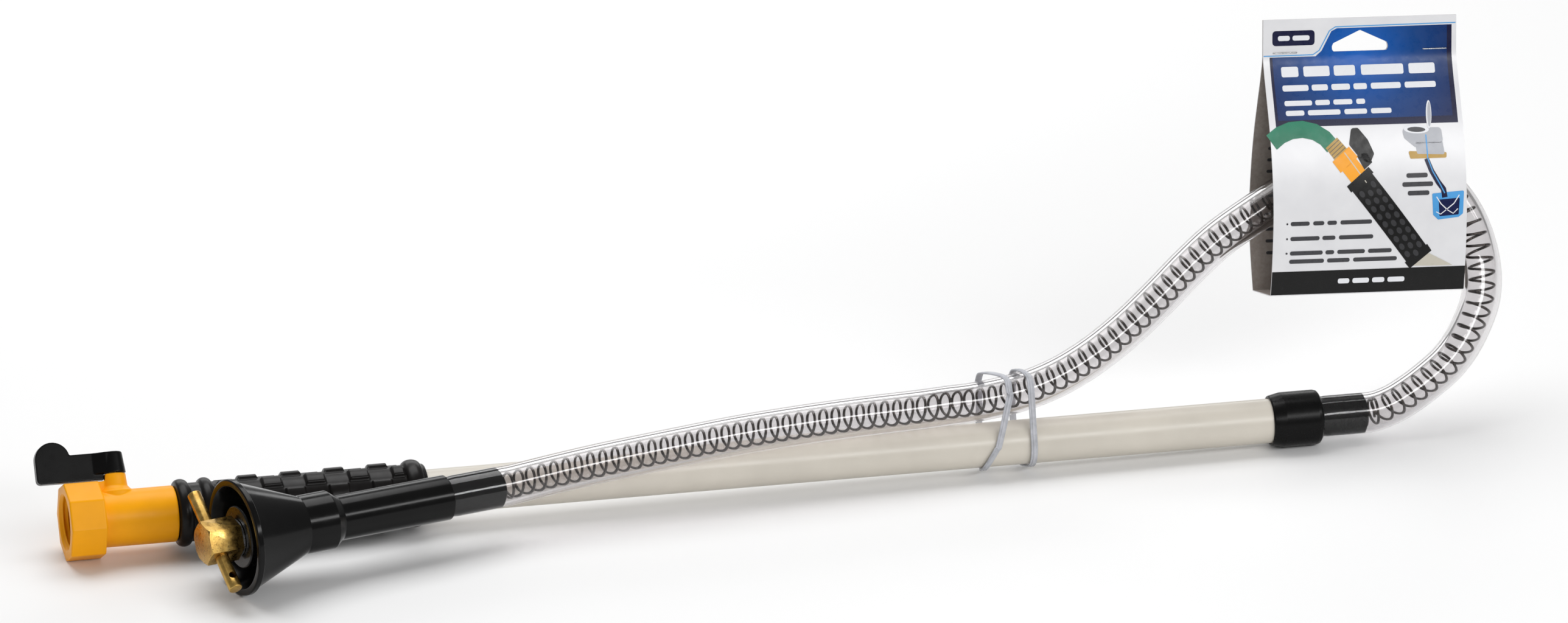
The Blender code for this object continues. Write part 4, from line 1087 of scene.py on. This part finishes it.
HOLE_CORNERS = [(u - CARD_WIDTH / 2 - CARD_LEFT, CARD_TOP - v) for u, v in HANG_HOLE]


def card_board():
    """Front, floor and back as one sheet: white outside, and inside a brownish grey that is painted shade for
    the inside of the fold.
    """
    rows = 60
    shares = [i / rows for i in range(rows + 1)]
    bottom = -CARD_BELOW
    half = CARD_THICK / 2

    def center(share, side):
        reach = card_reach(share, side)
        return (side * reach - CARD_AHEAD, bottom + share * CARD_HEIGHT)

    line = [center(s, -1) for s in reversed(shares)]
    front_foot, back_foot = line[-1], center(0, 1)
    line += [(front_foot[0] + (back_foot[0] - front_foot[0]) * i / 8, bottom) for i in range(1, 8)]
    line += [center(s, 1) for s in shares]
    normals = []
    for i, (y, z) in enumerate(line):
        y0, z0 = line[max(0, i - 1)]
        y1, z1 = line[min(len(line) - 1, i + 1)]
        length = math.hypot(y1 - y0, z1 - z0)
        normals.append(((z1 - z0) / length, -(y1 - y0) / length))
    outside = [(y + n[0] * half, z + n[1] * half) for (y, z), n in zip(line, normals)]
    inside = [(y - n[0] * half, z - n[1] * half) for (y, z), n in zip(line, normals)]
    shape = bmesh.new()
    columns = 28
    xs = [-CARD_WIDTH / 2 - CARD_LEFT + CARD_WIDTH * i / columns for i in range(columns + 1)]
    sheets = []
    for outline in (outside, inside):
        sheets.append([[shape.verts.new((x, y, z)) for x in xs] for y, z in outline])
    count = len(line)
    for s, sheet in enumerate(sheets):
        for i in range(count - 1):
            for k in range(columns):
                face = shape.faces.new(
                    (sheet[i][k], sheet[i][k + 1], sheet[i + 1][k + 1], sheet[i + 1][k])
                )
                face.material_index = s
    a, b = sheets
    for i in range(count - 1):
        for k in (0, columns):
            shape.faces.new((a[i][k], a[i + 1][k], b[i + 1][k], b[i][k]))
    for i in (0, count - 1):
        for k in range(columns):
            shape.faces.new((a[i][k], a[i][k + 1], b[i][k + 1], b[i][k]))
    bmesh.ops.recalc_face_normals(shape, faces=shape.faces)
    return shape


def card_materials():
    white = Nodes("card_white", (0.70, 0.70, 0.715), 0.32, Coat_Weight=0.25, Coat_Roughness=0.2)
    white.color(white.colours(white.noise(60, 3), [(0.3, (0.67, 0.67, 0.69)), (0.7, (0.73, 0.73, 0.745))]))
    white.bump(white.noise(600, 3), 0.03, 0.0002)
    # The inside of the sheet is painted a dark brownish grey: painted shade, standing in for the shadow
    # within the fold.
    inside = Nodes("card_inside_shade", (0.22, 0.19, 0.17), 0.75)
    inside.color(
        inside.colours(inside.noise(500, 5, 0.6), [(0.3, (0.27, 0.235, 0.21)), (0.7, (0.35, 0.31, 0.28))])
    )
    inside.bump(inside.noise(1500, 3), 0.08, 0.0001)
    return white.material, inside.material


def ink(name, low, high=None):
    """Printed ink under a clear coat, with a soft change of tone across the card."""
    m = Nodes(name, low, 0.30, Specular_IOR_Level=0.25)
    high = high or dim(low, 1.12)
    m.color(m.colours(m.noise(28, 2), [(0.35, low), (0.65, high)]))
    m.rough(m.spread(m.noise(300, 3), 0.24, 0.36))
    return m.material


def glow_ink(name, low, high, spot, reach):
    """Ink that is brightest round a spot on the front panel."""
    m = Nodes(name, low, 0.30, Specular_IOR_Level=0.25)
    away = m.add("ShaderNodeVectorMath", operation="DISTANCE")
    m.link(m.place, away.inputs[0])
    away.inputs[1].default_value = spot
    near = m.spread(away.outputs["Value"], 0.0, 1.0, 0.004, reach)
    m.color(m.colours(near, [(0.0, high), (0.45, dim(high, 0.45)), (1.0, low)]))
    m.rough(m.spread(m.noise(300, 3), 0.24, 0.36))
    return m.material


CARD_WHITE, CARD_INSIDE_SHADE = card_materials()
INKS = {
    "blue": glow_ink("ink_blue", (0.004, 0.008, 0.055), (0.002, 0.10, 0.44), (-0.004, -0.006, 0.054), 0.062),
    "navy": ink("ink_navy", (0.005, 0.006, 0.035)),
    "sky": ink("ink_sky", (0.07, 0.30, 0.62)),
    "white": ink("ink_white", (0.72, 0.73, 0.76), (0.76, 0.77, 0.80)),
    "black": ink("ink_black", (0.004, 0.004, 0.004)),
    "grey": ink("ink_grey", (0.05, 0.05, 0.055)),
    "pale": ink("ink_pale", (0.38, 0.39, 0.42)),
    "green": ink("ink_green", (0.008, 0.16, 0.085), (0.02, 0.27, 0.16)),
    "yellow": ink("ink_yellow", (0.80, 0.32, 0.005)),
    "gold": ink("ink_gold", (0.42, 0.26, 0.06)),
    "cream": ink("ink_cream", (0.50, 0.47, 0.40)),
    "gloss": ink("ink_gloss", (0.035, 0.035, 0.038)),
}
INK_ORDER = list(INKS)


def bar(u0, v0, u1, v1, radius=0.0):
    corners = [(u0, v0), (u1, v0), (u1, v1), (u0, v1)]
    return rounded(corners, radius, 3) if radius else corners


def words(spans, v0, v1):
    """Plain bars in place of a line of print."""
    return [bar(a, v0, b, v1, min(0.45 * (v1 - v0), 0.9)) for a, b in spans]


def ribbon(points, width, end_width=None):
    """A band along a line, as one outline."""
    line = [Vector(p) for p in points]
    left, right = [], []
    for i, p in enumerate(line):
        ahead = (line[min(i + 1, len(line) - 1)] - line[max(i - 1, 0)]).normalized()
        side = Vector((-ahead.y, ahead.x))
        wide = width if end_width is None else width + (end_width - width) * i / (len(line) - 1)
        left.append(tuple(p + side * wide / 2))
        right.append(tuple(p - side * wide / 2))
    return left + list(reversed(right))


def ellipse(u, v, a, b, turn=0.0, steps=28):
    return [
        (
            u + a * math.cos(t) * math.cos(turn) - b * math.sin(t) * math.sin(turn),
            v + a * math.cos(t) * math.sin(turn) + b * math.sin(t) * math.cos(turn),
        )
        for t in (2 * math.pi * i / steps for i in range(steps))
    ]


FOOT_STRIP = bar(0.05, 119.4, 97.95, 130.7)  # the dark strip at the lower edge


def front_print():
    """(ink, layer, outline) of each printed shape on the front, in millimetres from its top left."""
    shapes = []

    def add(name, layer, *outlines):
        shapes.extend((name, layer, outline) for outline in outlines)

    # A blue panel with a pale tab cut out of its top left corner
    add("navy", 1, [(3.2, 18.0), (4.6, 18.0), (4.6, 50.5), (3.2, 50.5)])
    add("blue", 1, [(4.6, 18.0), (26.5, 18.0), (29.5, 15.5), (34.5, 6.2), (37.2, 4.9), (95.6, 4.6),
                    (95.6, 47.5), (4.6, 47.5)])
    add("navy", 1, [(4.6, 47.5), (95.6, 47.5), (95.6, 50.8), (4.6, 50.5)])
    add("navy", 2, [(93.2, 4.9), (95.6, 4.9), (95.6, 47.5), (93.2, 47.5)])
    add("sky", 2, ribbon([(0.2, 17.3), (14, 17.3), (25.2, 17.2), (28.4, 15.2), (33.5, 6.0), (36.5, 4.2),
                          (60, 4.0), (97.6, 3.8)], 0.5))
    add("navy", 2, bar(4.6, 5.4, 26.0, 12.6, 1.6))
    add("white", 3, *words([(7.4, 13.4), (14.8, 23.4)], 7.8, 10.2))
    # Bars in place of words
    for v0, v1, spans in (
        (22.6, 27.4, [(8.6, 17.2), (19.8, 33.0), (35.2, 46.0), (49.0, 70.5), (73.2, 86.5)]),
        (31.2, 34.0, [(8.4, 21.6), (23.2, 31.4), (33.2, 42.6), (44.4, 51.2), (53.2, 68.4), (70.4, 86.2)]),
        (38.4, 40.8, [(8.6, 22.6), (24.2, 31.6), (33.4, 43.0), (45.0, 49.5)]),
        (43.0, 45.4, [(8.8, 18.2), (20.0, 36.5), (38.5, 50.0), (52.0, 62.4)]),
    ):
        add("white", 3, *words(spans, v0, v1))

    # A plain drawing of a wand: hose, fitting, valve, grip and pipe on a slant
    drawn_hose = [(0.3, 57.5), (5, 54.2), (10.5, 52.2), (16.5, 51.8), (22.5, 53.2), (27.5, 56.3),
                  (31.0, 60.5)]
    add("green", 4, ribbon(drawn_hose, 8.4, 7.6))
    down = Vector((0.62, 0.785)).normalized()
    across = Vector((-down.y, down.x))

    def slanted(at, a, b, c, d):
        """An outline with corners (along, across) a to d from a point."""
        return [tuple(Vector(at) + down * p[0] + across * p[1]) for p in (a, b, c, d)]

    start = (30.5, 58.5)
    add("gold", 5, slanted(start, (0, -3.9), (7.2, -4.2), (7.2, 4.2), (0, 3.9)))
    for i in range(4):
        low, high = 1.2 + 1.6 * i, 1.5 + 1.6 * i
        add("grey", 6, slanted(start, (low, -3.9), (high, -3.9), (high, 3.9), (low, 3.9)))
    add("yellow", 7, slanted(start, (7.0, -5.6), (13.6, -5.8), (13.6, 5.8), (7.0, 5.6)))
    add("yellow", 7, slanted(start, (13.4, -4.6), (25.5, -4.7), (25.5, 4.7), (13.4, 4.6)))
    add("cream", 8, slanted(start, (7.6, -2.2), (25.5, -1.4), (25.5, -0.9), (7.6, -1.7)))
    add("black", 9, rounded([(39.4, 59.6), (41.0, 52.0), (44.4, 51.8), (49.0, 57.5), (51.8, 64.2),
                             (49.4, 69.0), (44.6, 66.4)], 1.4, 4))
    grip_at = (45.0, 77.5)
    add("black", 8, slanted(grip_at, (-3.0, -6.6), (46.5, -6.2), (46.5, 6.2), (-3.0, 6.6)))
    add("black", 9, slanted(grip_at, (-3.4, -7.2), (0.2, -7.4), (0.2, 7.4), (-3.4, 7.2)))
    add("black", 9, slanted(grip_at, (44.6, -7.0), (48.6, -6.8), (48.6, 6.8), (44.6, 7.0)))
    add("black", 9, [(43.0, 65.0), (47.6, 63.0), (50.6, 68.2), (46.4, 71.6)])
    for i in range(9):
        for j in range(3):
            spot = Vector(grip_at) + down * (4.4 + 4.7 * i + (2.3 if j % 2 else 0)) + across * (3.7 * (j - 1))
            add("gloss", 10, ellipse(spot.x, spot.y, 1.75, 1.25, math.atan2(down.y, down.x), 16))
    pipe_at = tuple(Vector(grip_at) + down * 48.4)
    add("cream", 7, [tuple(Vector(pipe_at) + across * 4.9), tuple(Vector(pipe_at) - across * 4.9),
                     (91.5, 118.8), (80.2, 118.8)])

    # A plain drawing of a bowl above a tank
    add("gold", 5, rounded([(69.2, 63.5), (88.6, 64.6), (88.4, 67.2), (70.0, 67.2)], 0.7, 3))
    add("pale", 6, rounded([(73.0, 59.0), (86.8, 59.0), (87.6, 65.6), (73.6, 65.0)], 0.8, 3))
    add("pale", 6, rounded([(66.6, 52.6), (86.6, 52.8), (87.2, 60.0), (72.8, 61.8), (67.6, 57.4)], 1.8, 4))
    add("white", 7, ellipse(74.0, 53.4, 6.4, 2.0, 0.05))
    add("grey", 8, ellipse(74.0, 53.5, 4.6, 1.2, 0.05))
    add("white", 7, ellipse(81.0, 46.6, 1.4, 6.6, 0.08))
    add("pale", 8, ellipse(81.2, 46.6, 0.9, 5.8, 0.08))
    add("navy", 7, ribbon([(78.2, 67.3), (80.4, 73.0), (83.6, 78.6), (86.2, 82.0), (86.8, 86.0)], 2.4, 2.8))
    add("sky", 8, ribbon([(78.6, 56.0), (78.8, 67.0), (81.0, 73.4), (84.4, 79.4), (86.8, 84.0)], 0.6))
    add("sky", 5, rounded([(80.4, 84.0), (96.6, 83.0), (96.0, 94.0), (93.8, 95.6), (83.4, 96.6),
                           (80.8, 94.2)], 0.6, 3))
    add("blue", 6, rounded([(83.6, 87.0), (94.4, 86.4), (93.8, 94.4), (84.0, 95.0)], 0.5, 3))
    for line, width in (
        ([(87.6, 91.6), (84.8, 89.0), (82.6, 85.6)], 0.5),
        ([(87.9, 91.6), (91.4, 89.0), (94.2, 85.0)], 0.5),
        ([(87.4, 92.0), (84.6, 94.0), (82.4, 92.8)], 0.45),
        ([(88.0, 92.0), (91.0, 93.8), (93.4, 91.6)], 0.45),
    ):
        add("white", 7, ribbon(line, width))
    add("grey", 5, *words([(67.6, 78.4)], 74.0, 76.2), *words([(65.4, 81.0)], 78.2, 80.4),
        *words([(68.0, 79.0)], 82.4, 84.6))

    # Bars in place of the small print, and a dark foot strip
    for v, spans in (
        (96.4, [(8.6, 18.2), (20.0, 25.6), (27.2, 32.0), (33.8, 49.8)]),
        (103.6, [(8.6, 23.4), (24.8, 31.4), (33.2, 50.6)]),
        (110.6, [(8.6, 25.2), (26.6, 31.0), (32.6, 46.6), (48.2, 60.2)]),
        (114.6, [(8.4, 26.0), (27.6, 39.0), (40.8, 63.0)]),
    ):
        add("grey", 5, *words(spans, v - 1.0, v + 1.0))
        if v != 114.6:
            add("grey", 5, ellipse(6.9, v, 0.5, 0.5, 0, 12))
    add("black", 5, FOOT_STRIP)
    add("white", 6, *words([(33.6, 39.4), (41.0, 49.4), (51.0, 57.2), (58.8, 67.4)], 123.6, 126.0))
    return shapes


PRINT_LIFT, LAYER_LIFT = 0.03, 0.018  # millimetres off the card, and between two layers
STRIP = 2.0  # millimetres: the print is cut into strips this high, to follow the panel


def printed(name, shapes, side, within=False):
    """The print as thin flat shapes that follow the panel, each layer a hair above the last."""
    shape = bmesh.new()
    for ink_name, layer, outline in shapes:
        flat = bmesh.new()
        face = flat.faces.new([flat.verts.new((u * MM, v * MM, 0)) for u, v in outline])
        face.normal_update()
        bmesh.ops.triangulate(flat, faces=[face])
        low = min(v for _, v in outline)
        high = max(v for _, v in outline)
        cut = math.floor(low / STRIP) * STRIP + STRIP
        while cut < high:
            bmesh.ops.bisect_plane(
                flat, geom=flat.verts[:] + flat.edges[:] + flat.faces[:], dist=1e-7,
                plane_co=(0, cut * MM, 0), plane_no=(0, 1, 0),
            )
            cut += STRIP
        keep = {}
        for vert in flat.verts:
            lift = (PRINT_LIFT + LAYER_LIFT * layer) * MM
            lift = -CARD_THICK - lift if within else lift
            keep[vert] = shape.verts.new(on_card(vert.co.x, vert.co.y, side, lift))
        for face in flat.faces:
            corners = [keep[v] for v in face.verts]
            try:
                made = shape.faces.new(corners)
            except ValueError:
                continue
            made.material_index = INK_ORDER.index(ink_name)
            made.normal_update()
            if (made.normal.y > 0) == ((side < 0) != within):
                made.normal_flip()
        flat.free()
    return mesh_of(name, shape)


def card():
    def add_print(name, mesh):
        piece(name, mesh, list(INKS.values()), "card", CARD, (), 50)

    shape = card_board()
    mesh = fused(shape, [], [extruded(HOLE_CORNERS, 20 * MM)])
    piece("folded_card", mesh, [CARD_WHITE, CARD_INSIDE_SHADE], "card", CARD, ["header_card"], 50)
    # The print leaves the hang hole open
    add_print("card_front_print", cut_hole(printed("card_front_print", front_print(), -1)))
    lines = []
    for i in range(19):
        v = 12.0 + 5.6 * i
        spans = [(8, 30 + (i * 7) % 9), (41, 58 + (i * 5) % 7), (66, 90 - (i * 3) % 11)]
        lines += [("grey", 1, outline) for outline in words(spans, v, v + 1.5)]
    lines = [one for one in lines if one[2][0][1] > 18]
    lines.append(("black", 1, FOOT_STRIP))
    lines.append(("navy", 1, bar(3, 3.5, 95, 5.0)))
    add_print("card_back_print", printed("card_back_print", lines, 1))
    lines = [one for one in lines if one[0] == "grey" and one[2][0][1] > 50]
    add_print("card_inner_print", printed("card_inner_print", lines, 1, True))


def cut_hole(mesh):
    """Cuts the print away over the hang hole."""
    shape = bmesh.new()
    shape.from_mesh(mesh)
    corners = HOLE_CORNERS
    count = len(corners)
    for i in range(count):
        (x0, z0), (x1, z1) = corners[i], corners[(i + 1) % count]
        near = [
            f for f in shape.faces
            if min(v.co.x for v in f.verts) < 20 * MM and max(v.co.x for v in f.verts) > -24 * MM
            and max(v.co.z for v in f.verts) > CARD_TOP - 18 * MM
        ]
        parts = set(near)
        for f in near:
            parts.update(f.verts)
            parts.update(f.edges)
        bmesh.ops.bisect_plane(
            shape, geom=list(parts), dist=1e-7, plane_co=(x0, 0, z0), plane_no=(-(z1 - z0), 0, x1 - x0)
        )

    def within(x, z):
        sign = None
        for i in range(count):
            (x0, z0), (x1, z1) = corners[i], corners[(i + 1) % count]
            cross = (x1 - x0) * (z - z0) - (z1 - z0) * (x - x0)
            if abs(cross) < 1e-12:
                continue
            if sign is None:
                sign = cross > 0
            elif sign != (cross > 0):
                return False
        return True

    gone = [f for f in shape.faces if within(f.calc_center_median().x, f.calc_center_median().z)]
    bmesh.ops.delete(shape, geom=gone, context="FACES")
    return mesh_of("card_front_print", shape)


STAPLE_BELOW_TOP, STAPLE_FROM_MIDDLE, STAPLE_BEND_R = 16.0 * MM, 38.0 * MM, 0.6 * MM


def staple(name, node, middle_x):
    """A bent round wire: its crown in front and its legs folded in behind."""
    half, wire, panel = 6.0 * MM, 0.32 * MM, 0.95 * MM
    z = CARD_TOP - STAPLE_BELOW_TOP
    x = middle_x - CARD_LEFT
    y = -CARD_AHEAD
    route = [
        (x - 1.2 * MM, y + panel + 0.1 * MM), (x - half, y + panel), (x - half, y - panel),
        (x + half, y - panel), (x + half, y + panel), (x + 1.2 * MM, y + panel + 0.1 * MM),
    ]
    line = []
    for i, (a, b) in enumerate(route):
        if i in (0, len(route) - 1):
            line.append(Vector((a, b, z)))
            continue
        here = Vector((a, b, z))
        before = (Vector((*route[i - 1], z)) - here).normalized()
        after = (Vector((*route[i + 1], z)) - here).normalized()
        for t in range(7):
            s = t / 6
            p0, p1 = here + before * STAPLE_BEND_R, here + after * STAPLE_BEND_R
            line.append(p0 * (1 - s) ** 2 + here * 2 * s * (1 - s) + p1 * s**2)
    shape = swept(frames_along(line), circle(wire, 12))
    piece(name, shape, CLIP_STEEL, "card", CARD, [node], 50)


card()
staple("card_staple_left", "staple_left", -STAPLE_FROM_MIDDLE)
staple("card_staple_right", "staple_right", STAPLE_FROM_MIDDLE)

# ---------------------------------------------------------------- CAD nodes that are shown as they are

for names, material in (
    (("inlet_washer", "lower_stem_seal", "upper_stem_seal"), SEAL),
    (("front_ball_seat", "rear_ball_seat", "seat_retainer", "valve_ball"), SEAT_WHITE),
    (("valve_stem",), BRASS),
    (("thrust_washer", "rotor_clip"), CLIP_STEEL),
):
    for node in names:
        slots = NODES[node].data.materials
        if len(slots):
            for i in range(len(slots)):
                slots[i] = material
        else:
            slots.append(material)

# ---------------------------------------------------------------- floor and lights


def floor():
    shape = bmesh.new()
    bmesh.ops.create_grid(shape, x_segments=1, y_segments=1, size=6.0)
    mesh = mesh_of("floor", shape)
    obj = linked("floor", mesh)
    m = Nodes("floor", (0.86, 0.86, 0.86), 0.6)
    m.shader.inputs["Specular IOR Level"].default_value = 0.2
    m.color(m.colours(m.noise(0.6, 2), [(0.3, (0.85, 0.85, 0.85)), (0.7, (0.87, 0.87, 0.87))]))
    mesh.materials.append(m.material)


def area(name, location, target, size, power, size_y):
    data = bpy.data.lights.new(name, "AREA")
    data.energy = power
    data.size = size
    data.shape = "RECTANGLE"
    data.size_y = size_y
    obj = linked(name, data)
    obj.location = location
    obj.rotation_euler = (Vector(location) - Vector(target)).to_track_quat("Z", "Y").to_euler()


floor()
world = bpy.data.worlds.new("studio")
bpy.context.scene.world = world
world.use_nodes = True
background = world.node_tree.nodes["Background"]
background.inputs["Color"].default_value = (1, 1, 1, 1)
background.inputs["Strength"].default_value = 0.30

area("top_light", (-0.2, 0.75, 1.9), (0, 0.05, 0.0), 2.0, 31, 1.4)
area("front_strip", (0.75, -1.5, 1.02), (0, 0, 0.03), 2.4, 22, 0.3)
area("back_light", (0.2, 2.2, 0.9), (0, 0, 0.05), 2.2, 10, 0.7)
bpy.context.scene.view_settings.view_transform = "Standard"

# ---------------------------------------------------------------- the end

bpy.context.view_layer.update()
